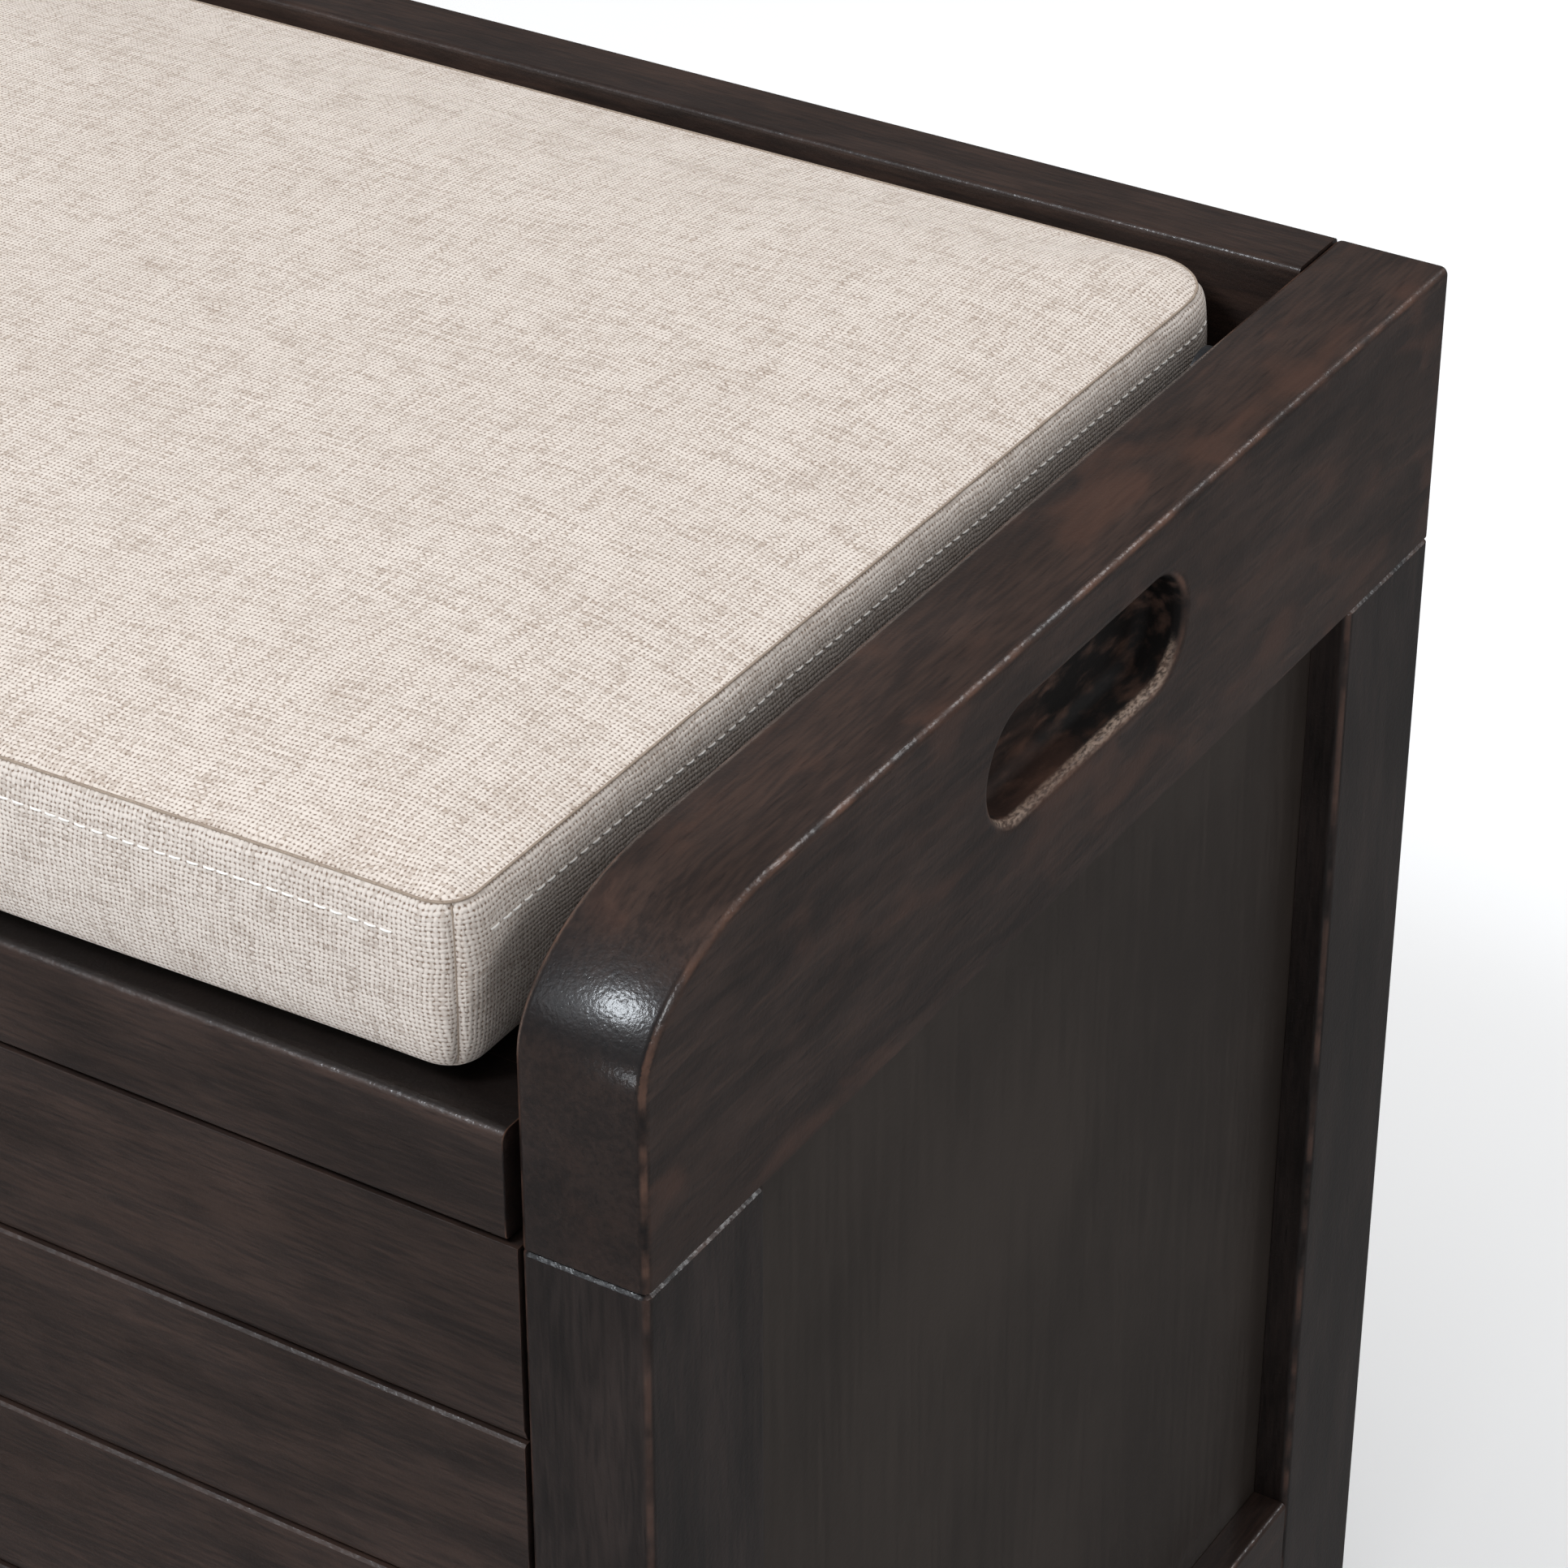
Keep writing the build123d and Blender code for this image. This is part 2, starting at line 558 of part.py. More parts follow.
foam = cushion_body(COVER_THICK)
nodes = {
    "front_bottom_rail": front_bottom_rail(),
    "back_top_rail": back_rail((ARM_BOTTOM, ARM_TOP)),
    "back_bottom_rail": back_rail((SIDE_RAIL_BOTTOM, SIDE_RAIL_TOP)),
    "back_centre_stile": back_centre_stile(),
    "bottom_panel": bottom_panel(),
    "lid_panel": lid_panel(),
    "lid_front_edge": lid_front_edge(),
    "cushion_foam": foam,
    "cushion_cover": cushion_body(0) - foam,
}

right_pieces = {
    "arm_rail": arm_rail(),
    "front_leg": leg(front=True),
    "rear_leg": leg(front=False),
    "side_bottom_rail": side_bottom_rail(),
    "side_panel": SIDE_PANEL,
    "back_panel": BACK_PANEL,
    "lid_rest": lid_rest(),
    "front_glide": glide(front=True),
    "rear_glide": glide(front=False),
    "pivot_pin": PIVOT_PIN,
    "pivot_plate": pivot_plate(),
}
for name, shape in right_pieces.items():
    nodes[name + "_right"] = shape
    nodes[name + "_left"] = mirrored(shape)

for index in range(PLANK_COUNT):
    nodes[f"front_plank_{index + 1}"] = front_plank(index)
for place, batten_x, lid_batten_x in zip(("left", "centre", "right"), BATTEN_XS, LID_BATTEN_XS):
    nodes["front_batten_" + place] = front_batten(batten_x)
    nodes["lid_batten_" + place] = lid_batten(lid_batten_x)
for place in ("front", "back", "left", "right", "middle"):
    nodes["bottom_cleat_" + place] = bottom_cleat(place)

groups = {
    "side_frame_dowels": RIGHT_FRAME_DOWELS + LEFT_FRAME_DOWELS,
    "cross_rail_dowels": RIGHT_RAIL_DOWELS + LEFT_RAIL_DOWELS + STILE_DOWELS,
    "front_batten_screws": BATTEN_SCREWS,
    "cleat_screws": CLEAT_SCREWS,
    "lid_batten_screws": LID_BATTEN_SCREWS,
    "pivot_plate_screws": PLATE_SCREWS,
    "lid_rest_bumpers": lid_rest_bumpers(),
    "pivot_washers": [pivot_washer(), mirrored(pivot_washer())],
    "cushion_grip_pads": cushion_grip_pads(),
}
for name, solids in groups.items():
    nodes[name] = Compound(children=solids)

os.makedirs("parts", exist_ok=True)
for name, shape in nodes.items():
    export_step(shape, f"parts/{name}.step")
print(len(nodes), "nodes")
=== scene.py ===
import json
import math

import bmesh
import bpy
import numpy as np
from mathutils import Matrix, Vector, noise
from mathutils.bvhtree import BVHTree


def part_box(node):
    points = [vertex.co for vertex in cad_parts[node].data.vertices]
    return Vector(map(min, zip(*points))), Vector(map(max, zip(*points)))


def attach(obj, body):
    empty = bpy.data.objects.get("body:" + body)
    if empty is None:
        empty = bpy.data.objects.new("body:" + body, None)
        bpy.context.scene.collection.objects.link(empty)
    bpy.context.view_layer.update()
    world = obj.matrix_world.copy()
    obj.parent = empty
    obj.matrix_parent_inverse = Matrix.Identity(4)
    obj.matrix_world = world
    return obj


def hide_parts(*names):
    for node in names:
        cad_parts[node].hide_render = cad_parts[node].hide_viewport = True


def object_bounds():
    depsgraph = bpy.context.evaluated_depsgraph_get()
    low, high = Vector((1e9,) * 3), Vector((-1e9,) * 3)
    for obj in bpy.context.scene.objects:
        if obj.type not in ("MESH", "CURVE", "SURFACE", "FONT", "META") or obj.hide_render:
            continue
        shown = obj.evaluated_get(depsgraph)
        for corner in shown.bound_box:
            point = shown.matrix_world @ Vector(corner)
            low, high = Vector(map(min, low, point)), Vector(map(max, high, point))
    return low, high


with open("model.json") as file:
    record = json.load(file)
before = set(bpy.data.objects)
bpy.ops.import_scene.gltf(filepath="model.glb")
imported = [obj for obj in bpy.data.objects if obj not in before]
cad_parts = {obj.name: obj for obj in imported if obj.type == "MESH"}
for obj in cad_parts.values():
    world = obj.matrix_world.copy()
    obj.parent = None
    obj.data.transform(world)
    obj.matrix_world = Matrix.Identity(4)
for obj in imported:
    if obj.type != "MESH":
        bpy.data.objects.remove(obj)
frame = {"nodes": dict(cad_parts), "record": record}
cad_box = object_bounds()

# Storage bench with a flip-top lid and a boxed cushion. Metres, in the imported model's frame.

# Camera, placed from the top front corner of the right arm
CAMERA_OFFSET = Vector((0.4684, -0.7015, 0.5865))
CAMERA_AIM = Vector((-0.4433, 0.7182, -0.5365))
CAMERA_LENS = 111.8
CAMERA_NEAR = 0.05
CAMERA_FAR = 60.0

# Lamps that face that same corner: offset from it, size, power, colour, and whether gloss shows it
LAMPS = {
    "key_light": (Vector((-0.78, -1.32, 1.88)), 0.58, 41, (0.88, 0.94, 1.0), True),
    "side_softbox": (Vector((-1.90, -1.70, 1.60)), 1.1, 4, (0.90, 0.95, 1.0), True),
    "low_softbox": (Vector((-0.28, -2.45, -0.27)), 0.4, 5, (0.90, 0.95, 1.0), True),
    "edge_strip": (Vector((1.40, 1.87, 1.14)), 0.8, 15, (0.96, 0.98, 1.0), True),
    "rim_kicker": (Vector((2.09, -0.31, 1.13)), 0.55, 15, (0.96, 0.98, 1.0), True),
    "front_fill": (Vector((-0.6, -3.0, 0.9)), 2.4, 5, (1.0, 0.98, 0.96), False),
    "back_fill": (Vector((-0.3, 2.6, 1.6)), 2.0, 12, (1.0, 0.99, 0.98), False),
}

# Soft light from the ceiling: its strength, how wide it looks, and the way to it
SKY_ENERGY = 1.25
SKY_ANGLE = math.radians(70)
SKY_OFFSET = Vector((-0.25, -0.15, 1.0))

# World: its colour, and its strength as gloss shows it and as light
WORLD_COLOUR = (0.97, 0.97, 0.975, 1.0)
WORLD_GLOSS = 0.12
WORLD_LIGHT = 0.28

# Side of the square floor
FLOOR_SIZE = 40.0

# Cushion: seams, and the grid of its panels
TOP_SEAM_DROP = 0.0075
BOTTOM_SEAM_RISE = 0.0045
SEAM_SINK = 0.0020
SEAM_LIP = 0.0016
SEAM_ROLL = 0.0004
FRONT_CORNER = 0.009
REAR_CORNER = 0.021
EDGE_STEPS = (0.0, 0.0006, 0.0014, 0.0026, 0.0045, 0.0066, 0.009)
GRID_STEP = 0.0075
BOXING_ROWS = 9
BOXING_ROWS_FROM = 0.0125

# Cushion: filling. A wave is its height and its length, and a layer is where its noise is taken
TOP_CROWN = 0.0045
CROWN_REACH = 0.035
FRONT_BOW = 0.0035
BOW_REACH = 0.10
SIDE_BULGE = 0.0016
BOTTOM_SAG = 0.0030
BOXING_TUCK = 14
CORNER_PULL = 0.0013
CORNER_SHARES = (1.0, 0.45, 0.1)
PUCKER_WAVE = (0.00045, 0.017)
PUCKER_LAYER = 3.0
PUCKER_REACH = 0.016
SLACK_WAVE = (0.0010, 0.12)
SLACK_LAYER = 7.0
SIDE_WAVE = (0.0004, 0.03)

# Cushion: shape of the lip, and how many times more gently slack and sag begin beside a seam
LIP_SHAPE = 1.4
SLACK_EASE = 6
SAG_EASE = 2

# Cushion: cloth simulation, the cap on how far it moves a point, and the room left behind the cover
CLOTH = {
    "quality": 5,
    "mass": 0.3,
    "tension_stiffness": 30,
    "compression_stiffness": 30,
    "shear_stiffness": 12,
    "bending_stiffness": 4,
    "uniform_pressure_force": 4.0,
}
SIM_FRAMES = 20
SIM_CAP = 0.0045
LEAST_LENGTH = 1e-9
REAR_ROOM = 0.0015

# Topstitching. A ring of a stitch is its share of the length, its rise and its girth in thread radii
STITCH_DROP = 0.0108
STITCH_LENGTH = 0.0034
STITCH_PITCH = 0.0044
STITCH_JITTER = (0.0008, 1.7)
STITCH_DRIFT = (0.0006, 0.045)
STITCH_REACH = 0.03
STITCH_RINGS = (
    (0.0, -0.9, 0.6),
    (0.12, 0.25, 0.95),
    (0.5, 0.7, 1.0),
    (0.88, 0.25, 0.95),
    (1.0, -0.9, 0.6),
)
THREAD_RADIUS = 0.00030
TUBE_SIDES = 6

# A seam runs upright where its sine from the vertical is no more than this
UPRIGHT = 0.3

# Weave: pitch of the yarns, how many pitches they wander, depth of the relief, and how much higher the
# weft lies. Then the colour of the painted shade in the pores, and for the panels and the boxing the
# yarns' colours and the share of yarn colour left in that painted shade
WEAVE_PITCH = 0.00125
WEAVE_WANDER = 2.2
WEAVE_HEIGHT = 0.00022
WEFT_LEAD = 0.12
WEAVE_GAP_SHADE = (0.17, 0.112, 0.078, 1.0)
PANEL_YARN = {"pale": (0.69, 0.612, 0.548, 1.0), "tan": (0.43, 0.348, 0.288, 1.0), "yarn_left_in_gap_shade": 0.06}
# Painted shade: the boxing's yarns are the panels' made darker, and its pores keep no yarn colour, for
# the shade on the upright sides
BOXING_YARN_PAINTED_SHADE = {"pale": (0.63, 0.565, 0.512, 1.0), "tan": (0.38, 0.318, 0.272, 1.0), "yarn_left_in_gap_shade": 0.0}

# Timber: noise cycles per metre
FINE_GRAIN = 800
BROAD_GRAIN = 95
PORE_GRAIN = 2300
STAIN_PATCH = 48
STAIN_CLOUD = 17
EDGE_WEAR = 75
EDGE_CHIPS = 520
BARE_PATCH = 52

# Timber: the share of those cycles along the grain, its least for patches, and the pores' share each way
GRAIN_SHARE = 0.085
PATCH_SHARE = 0.3
PORE_SHARE = 0.55

# Colours of the stain, the painted shade on the lid's top, and the lip's wear with painted highlight
PORE_STAIN = (0.004, 0.003, 0.003, 1.0)
END_STAIN = (0.006, 0.0056, 0.0062, 1.0)
# Painted shade: the lid's up-facing top is darkened to this colour, for the shade between the cushion
# and the arms
PAINTED_TOP_SHADE = (0.003, 0.0022, 0.002, 1.0)
BARE_STAIN = (0.075, 0.034, 0.022, 1.0)
CUT_STAIN = (0.006, 0.0045, 0.0040, 1.0)
# Partly wear, partly painted highlight: the pale colour of the pull's up-facing lower lip
LIP_WEAR_AND_HIGHLIGHT = (0.30, 0.22, 0.17, 1.0)

# Lacquer: its weight and roughness, the noise cycles per metre of its orange peel and of its sag, the
# depth of the peel, and the bend of a crowned rail in peel depths per square metre
COAT = 0.62
COAT_ROUGH = 0.19
SKIN_PEEL = 900
SKIN_SAG = 150
PEEL_DEPTH = 0.00012
CROWN_BEND = 54000

# Finger pull: room round the record's box, and depths below the arm's outer face. There the rough wood
# of the cut starts and is full, and the pale lip, worn and with painted highlight, is full and ends
PULL_ROOM = Vector((0.006, 0.013, 0.008))
CUT_START = 0.0004
CUT_FULL = 0.0018
LIP_FULL = 0.0030
LIP_END = 0.0046

# Black pieces: darkest and lightest colour, roughness, and noise cycles per metre
BLACKS = {
    "black_steel": ((0.010, 0.010, 0.011, 1.0), (0.022, 0.022, 0.024, 1.0), 0.45, 1200),
    "black_plastic": ((0.012, 0.012, 0.012, 1.0), (0.03, 0.03, 0.03, 1.0), 0.5, 1500),
    "black_rubber": ((0.008, 0.008, 0.008, 1.0), (0.022, 0.022, 0.022, 1.0), 0.8, 900),
}

# Rounded corners of the timber, and the angle and distance within which its facets are joined
EASE_WIDTH = 0.00045
EASE_ANGLE = math.radians(24)
FLAT_ANGLE = math.radians(0.6)
WELD_DISTANCE = 0.000005


# ---------------------------------------------------------------- node helpers

def add(tree, kind, inputs=None, **settings):
    """A shader node. Each input is a socket to link, or a value to set."""
    node = tree.nodes.new("ShaderNode" + kind)
    for name, value in settings.items():
        setattr(node, name, value)
    for name, value in (inputs or {}).items():
        socket = node.inputs[name]
        if isinstance(value, bpy.types.NodeSocket):
            tree.links.new(value, socket)
        else:
            socket.default_value = value
    return node


def maths(tree, operation, a, b=0.0, c=0.0):
    """The result socket of a Math node."""
    return add(tree, "Math", {0: a, 1: b, 2: c}, operation=operation).outputs[0]


def product(tree, *factors):
    """The product of two or more values."""
    result = factors[0]
    for factor in factors[1:]:
        result = maths(tree, "MULTIPLY", result, factor)
    return result


def blended(tree, factor, a, b):
    """Two values mixed by a factor."""
    return add(tree, "Mix", {0: factor, 2: a, 3: b}, data_type="FLOAT").outputs[0]


def mixed(tree, factor, a, b, mode="MIX"):
    """Two colours mixed by a factor."""
    inputs = {0: factor, 6: a, 7: b}
    return add(tree, "Mix", inputs, data_type="RGBA", blend_type=mode).outputs[2]


def stepped(tree, value, low, high, to_low=0.0, to_high=1.0):
    """A value carried smoothly from one range to another, and held at its ends."""
    inputs = {"Value": value, 1: low, 2: high, 3: to_low, 4: to_high}
    return add(tree, "MapRange", inputs, interpolation_type="SMOOTHSTEP").outputs[0]


def noise_at(tree, vector, scale, detail=2.0, distortion=0.0):
    """A noise value from 0 to 1 at a position."""
    inputs = {"Vector": vector, "Scale": scale, "Detail": detail, "Distortion": distortion}
    return add(tree, "TexNoise", inputs).outputs["Fac"]


def scaled(tree, vector, factors):
    """A position stretched along each axis."""
    return add(tree, "VectorMath", {0: vector, 1: factors}, operation="MULTIPLY").outputs[0]


def split(tree, vector):
    """The X, Y and Z sockets of a position or direction."""
    return add(tree, "SeparateXYZ", {0: vector}).outputs


def rgb(red, green, blue):
    """A colour with full alpha."""
    return (red, green, blue, 1.0)


def surface(name):
    """A new material: its tree, its main shader and the position on the object."""
    made = bpy.data.materials.new(name)
    made.use_nodes = True
    tree = made.node_tree
    place = add(tree, "TexCoord").outputs["Object"]
    return made, tree, tree.nodes["Principled BSDF"], place


def painted(tree, shader, colour, roughness=None):
    """Join a colour, and a roughness that varies, to a shader."""
    tree.links.new(colour, shader.inputs["Base Color"])
    if roughness is not None:
        tree.links.new(roughness, shader.inputs["Roughness"])


def bumped(tree, shader, height, distance, strength=1.0):
    """Join a height, in units of the distance, to a shader's normals."""
    bump = add(tree, "Bump", {"Height": height, "Distance": distance, "Strength": strength})
    tree.links.new(bump.outputs[0], shader.inputs["Normal"])
    tree.links.new(bump.outputs[0], shader.inputs["Coat Normal"])


# ---------------------------------------------------------------- timber

def timber(tree, place, along):
    """The noise fields of sawn timber with its grain along one axis."""
    stretch = [1.0, 1.0, 1.0]
    stretch["XYZ".index(along)] = GRAIN_SHARE
    grain_place = scaled(tree, place, stretch)
    patch_place = scaled(tree, place, [max(share, PATCH_SHARE) for share in stretch])
    pore_place = scaled(tree, place, [share * PORE_SHARE for share in stretch])
    return {
        "fine": noise_at(tree, grain_place, FINE_GRAIN, 4.0, 0.4),
        "broad": noise_at(tree, grain_place, BROAD_GRAIN, 3.0, 0.8),
        "cloud": noise_at(tree, place, STAIN_CLOUD, 3.0),
        "patch": noise_at(tree, patch_place, STAIN_PATCH, 4.0, 0.5),
        "pores": stepped(tree, noise_at(tree, pore_place, PORE_GRAIN, 1.0), 0.63, 0.75),
    }


def stain(tree, fields, dark, mid):
    """The stain's colour, with streaks, patches and dark pores."""
    broad = product(tree, fields["broad"], 0.42)
    fine = product(tree, fields["fine"], 0.58)
    streak = stepped(tree, maths(tree, "ADD", broad, fine), 0.36, 0.66)
    colour = mixed(tree, streak, dark, mid)
    shade = maths(tree, "MULTIPLY_ADD", fields["patch"], 0.6, product(tree, fields["cloud"], 0.4))
    shade = stepped(tree, shade, 0.36, 0.64, 0.74, 1.20)
    grey = add(tree, "CombineColor", {0: shade, 1: shade, 2: shade}).outputs[0]
    colour = mixed(tree, 1.0, colour, grey, "MULTIPLY")
    return mixed(tree, product(tree, fields["pores"], 0.35), colour, PORE_STAIN)


def end_grain_share(tree, fields, end_on):
    """How much darker stain the end grain took: most where it is cut at a slant."""
    cut = stepped(tree, end_on, 0.2, 0.75)
    slanted = stepped(tree, end_on, 0.86, 1.0, 0.85, 0.40)
    patches = stepped(tree, fields["patch"], 0.3, 0.7, 0.8, 1.0)
    return product(tree, cut, slanted, patches)


def edge_wear(tree, place, normal):
    """How far each edge along the side faces is rubbed, and how far lacquer is chipped off any edge."""
    side = product(tree, normal[0], normal[0])
    edge = product(tree, side, maths(tree, "SUBTRACT", 1.0, side), 4.0)
    patchy = stepped(tree, noise_at(tree, place, EDGE_WEAR, 5.0), 0.36, 0.70)
    rubbed = product(tree, stepped(tree, edge, 0.25, 0.95), patchy)

    flatness = product(tree, side, side)
    for axis in (1, 2):
        square = product(tree, normal[axis], normal[axis])
        flatness = maths(tree, "ADD", flatness, product(tree, square, square))
    rounded = stepped(tree, flatness, 0.60, 0.95, 1.0, 0.0)
    chips = stepped(tree, noise_at(tree, place, EDGE_CHIPS, 4.0), 0.42, 0.62, 0.9, 0.0)
    return rubbed, product(tree, rounded, chips)


def orange_peel(tree, place, fields, peel):
    """Height of the lacquer in peel depths."""
    skin = product(tree, noise_at(tree, place, SKIN_PEEL, 2.0), 0.8 * peel)
    sag = product(tree, noise_at(tree, place, SKIN_SAG, 1.0), 0.4)
    height = maths(tree, "ADD", skin, sag)
    height = maths(tree, "ADD", height, product(tree, fields["broad"], 0.25))
    return maths(tree, "SUBTRACT", height, product(tree, fields["pores"], 0.12))


def cut_pull(tree, place, normal, pull, colour, matte, coat, worn):
    """Rougher, darker wood where the router cut the finger pull, and a pale lower lip: wear and painted
    highlight.

    A pull is its low and high corners on the right arm. The left arm mirrors it.
    """
    low, high = pull
    at = split(tree, place)
    out = maths(tree, "ABSOLUTE", at[0])
    inside = product(
        tree,
        maths(tree, "GREATER_THAN", out, low.x),
        maths(tree, "LESS_THAN", maths(tree, "ABSOLUTE", at[1]), high.y),
        maths(tree, "GREATER_THAN", at[2], low.z),
        maths(tree, "LESS_THAN", at[2], high.z),
    )
    deep = product(tree, inside, stepped(tree, out, high.x - CUT_FULL, high.x - CUT_START, 1.0, 0.0))
    fibre = noise_at(tree, scaled(tree, place, (1.0, 0.3, 1.0)), 260, 5.0)
    fibre = stepped(tree, fibre, 0.45, 0.75, 0.0, 0.5)
    colour = mixed(tree, deep, colour, CUT_STAIN)
    colour = mixed(tree, product(tree, deep, fibre), colour, worn)
    matte = maths(tree, "MULTIPLY_ADD", deep, 0.3, matte)
    coat = product(tree, coat, maths(tree, "SUBTRACT", 1.0, deep))

    grit = noise_at(tree, scaled(tree, place, (1.0, 0.35, 1.0)), 1500, 3.0)
    # Wear and painted highlight: where the lower lip faces up it is painted pale
    lip = product(
        tree,
        stepped(tree, out, high.x - LIP_END, high.x - LIP_FULL),
        inside,
        stepped(tree, normal[2], 0.30, 0.75),
        stepped(tree, maths(tree, "ABSOLUTE", normal[0]), 0.10, 0.40),
        stepped(tree, grit, 0.34, 0.66, 0.15, 0.95),
    )
    return mixed(tree, lip, colour, LIP_WEAR_AND_HIGHLIGHT), matte, coat


def rubbed_through(tree, place, colour, end_grain):
    """Redder patches where the stain was rubbed thin, but not on the end grain."""
    bare = noise_at(tree, scaled(tree, place, (1.0, 0.45, 1.0)), BARE_PATCH, 6.0, 0.6)
    long_grain = maths(tree, "SUBTRACT", 0.45, end_grain)
    bare = product(tree, stepped(tree, bare, 0.50, 0.70), long_grain)
    return mixed(tree, maths(tree, "MAXIMUM", bare, 0.0), colour, BARE_STAIN)


def crowned(tree, place, height, crown):
    """A height that falls away on both sides of a rail that is sanded slightly round."""
    off = maths(tree, "SUBTRACT", maths(tree, "ABSOLUTE", split(tree, place)[0]), crown)
    return maths(tree, "SUBTRACT", height, product(tree, off, off, CROWN_BEND))


def stained_wood(name, along, dark, mid, worn, gloss, wear=1.0, peel=1.0, painted_shade_on_top=0.0,
                 crown=None, pull=None):
    """Dark stained timber with its grain along one axis, under a lacquer with orange peel.

    A crown is the distance from the middle of the bench to the middle of a rail that is sanded
    slightly round. A pull is the low and high corners of a finger pull.
    """
    made, tree, shader, place = surface(name)
    fields = timber(tree, place, along)
    normal = split(tree, add(tree, "NewGeometry").outputs["Normal"])
    end_on = maths(tree, "ABSOLUTE", normal["XYZ".index(along)])
    end_grain = end_grain_share(tree, fields, end_on)
    # Painted shade: faces that look up are darkened by this share, standing in for shade
    top_shade_mask = product(tree, stepped(tree, normal[2], 0.7, 0.95), painted_shade_on_top)
    rubbed, chipped = edge_wear(tree, place, normal)

    colour = stain(tree, fields, dark, mid)
    colour = mixed(tree, end_grain, colour, END_STAIN)
    colour = mixed(tree, top_shade_mask, colour, PAINTED_TOP_SHADE)
    colour = mixed(tree, product(tree, rubbed, wear), colour, worn)
    matte = maths(tree, "ADD", product(tree, fields["fine"], 0.16), gloss)
    coat = maths(tree, "MULTIPLY_ADD", chipped, -COAT, COAT)
    height = orange_peel(tree, place, fields, peel)
    if pull is not None:
        coat = maths(tree, "MAXIMUM", coat, product(tree, stepped(tree, end_on, 0.05, 0.3), COAT))
        colour, matte, coat = cut_pull(tree, place, normal, pull, colour, matte, coat, worn)
    if crown is not None:
        colour = rubbed_through(tree, place, colour, end_grain)
        height = crowned(tree, place, height, crown)

    painted(tree, shader, colour, matte)
    tree.links.new(coat, shader.inputs["Coat Weight"])
    shader.inputs["Specular IOR Level"].default_value = 0.22
    shader.inputs["Coat Roughness"].default_value = COAT_ROUGH
    shader.inputs["Coat IOR"].default_value = 1.45
    bumped(tree, shader, height, PEEL_DEPTH)
    return made


def plain_panel(name, dark, mid, gloss):
    """Stained plywood, smooth and quiet, with faint clouds and fine upright grain."""
    made, tree, shader, place = surface(name)
    grain_place = scaled(tree, place, (1.0, 1.0, 0.05))
    fine = noise_at(tree, grain_place, 520, 3.0, 0.3)
    cloud = noise_at(tree, place, 11, 4.0)
    blend = maths(tree, "ADD", product(tree, fine, 0.35), product(tree, cloud, 0.65))
    matte = maths(tree, "ADD", product(tree, fine, 0.12), gloss)
    painted(tree, shader, mixed(tree, stepped(tree, blend, 0.34, 0.68), dark, mid), matte)
    shader.inputs["Specular IOR Level"].default_value = 0.36
    height = maths(tree, "ADD", product(tree, fine, 0.4), noise_at(tree, place, 640, 2.0))
    bumped(tree, shader, height, 0.0001, 0.5)
    return made


def bare_dowel_wood(name):
    """Unfinished beech with short flecks."""
    made, tree, shader, place = surface(name)
    fleck = noise_at(tree, scaled(tree, place, (1.0, 1.0, 0.2)), 900, 2.0)
    shade = stepped(tree, fleck, 0.4, 0.65)
    painted(tree, shader, mixed(tree, shade, rgb(0.50, 0.33, 0.18), rgb(0.66, 0.47, 0.29)))
    shader.inputs["Roughness"].default_value = 0.7
    bumped(tree, shader, fleck, 0.0001, 0.6)
    return made


# ---------------------------------------------------------------- metal, plastic and cloth

def zinc(name):
    """Zinc plated steel with faint spangle."""
    made, tree, shader, place = surface(name)
    cells = add(tree, "TexVoronoi", {"Vector": place, "Scale": 900.0}).outputs["Distance"]
    haze = noise_at(tree, place, 300, 3.0)
    colour = mixed(tree, cells, rgb(0.46, 0.47, 0.49), rgb(0.66, 0.67, 0.68))
    painted(tree, shader, colour, stepped(tree, haze, 0.2, 0.8, 0.26, 0.44))
    shader.inputs["Metallic"].default_value = 1.0
    bumped(tree, shader, haze, 0.00005, 0.5)
    return made


def moulded(name, colour_low, colour_high, roughness, grain_scale):
    """Plastic, rubber or black oxide with a fine grain."""
    made, tree, shader, place = surface(name)
    grain = noise_at(tree, place, grain_scale, 2.0)
    matte = stepped(tree, grain, 0.2, 0.8, roughness - 0.06, roughness + 0.06)
    painted(tree, shader, mixed(tree, grain, colour_low, colour_high), matte)
    bumped(tree, shader, grain, 0.0001, 0.6)
    return made


def hook_tape(name):
    """Black hook-and-loop tape: rows of tiny hooks."""
    made, tree, shader, place = surface(name)
    inputs = {"Vector": place, "Scale": 750.0, "Randomness": 0.25}
    cells = add(tree, "TexVoronoi", inputs).outputs["Distance"]
    painted(tree, shader, mixed(tree, cells, rgb(0.006, 0.006, 0.007), rgb(0.06, 0.06, 0.062)))
    shader.inputs["Roughness"].default_value = 0.85
    bumped(tree, shader, cells, 0.0005)
    return made


def yarn_axes(tree, place, boxing):
    """Two coordinates in yarns. They run along X and Y on the panels, and along and up the boxing."""
    wander = add(tree, "TexNoise", {"Vector": place, "Scale": 90.0, "Detail": 5.0}).outputs["Color"]
    wander = add(tree, "VectorMath", {0: wander, 1: (0.5, 0.5, 0.5)}, operation="SUBTRACT").outputs[0]
    inputs = {0: wander, "Scale": WEAVE_PITCH * WEAVE_WANDER}
    shift = add(tree, "VectorMath", inputs, operation="SCALE").outputs[0]
    moved = split(tree, add(tree, "VectorMath", {0: place, 1: shift}, operation="ADD").outputs[0])
    along = moved[0]
    up = moved[1]
    if boxing:
        normal = split(tree, add(tree, "NewGeometry").outputs["True Normal"])
        facing_x = maths(tree, "ABSOLUTE", normal[0])
        facing_y = maths(tree, "ABSOLUTE", normal[1])
        on_side = maths(tree, "GREATER_THAN", facing_x, facing_y)
        along = blended(tree, on_side, moved[0], moved[1])
        up = moved[2]
    return product(tree, along, 1 / WEAVE_PITCH), product(tree, up, 1 / WEAVE_PITCH)


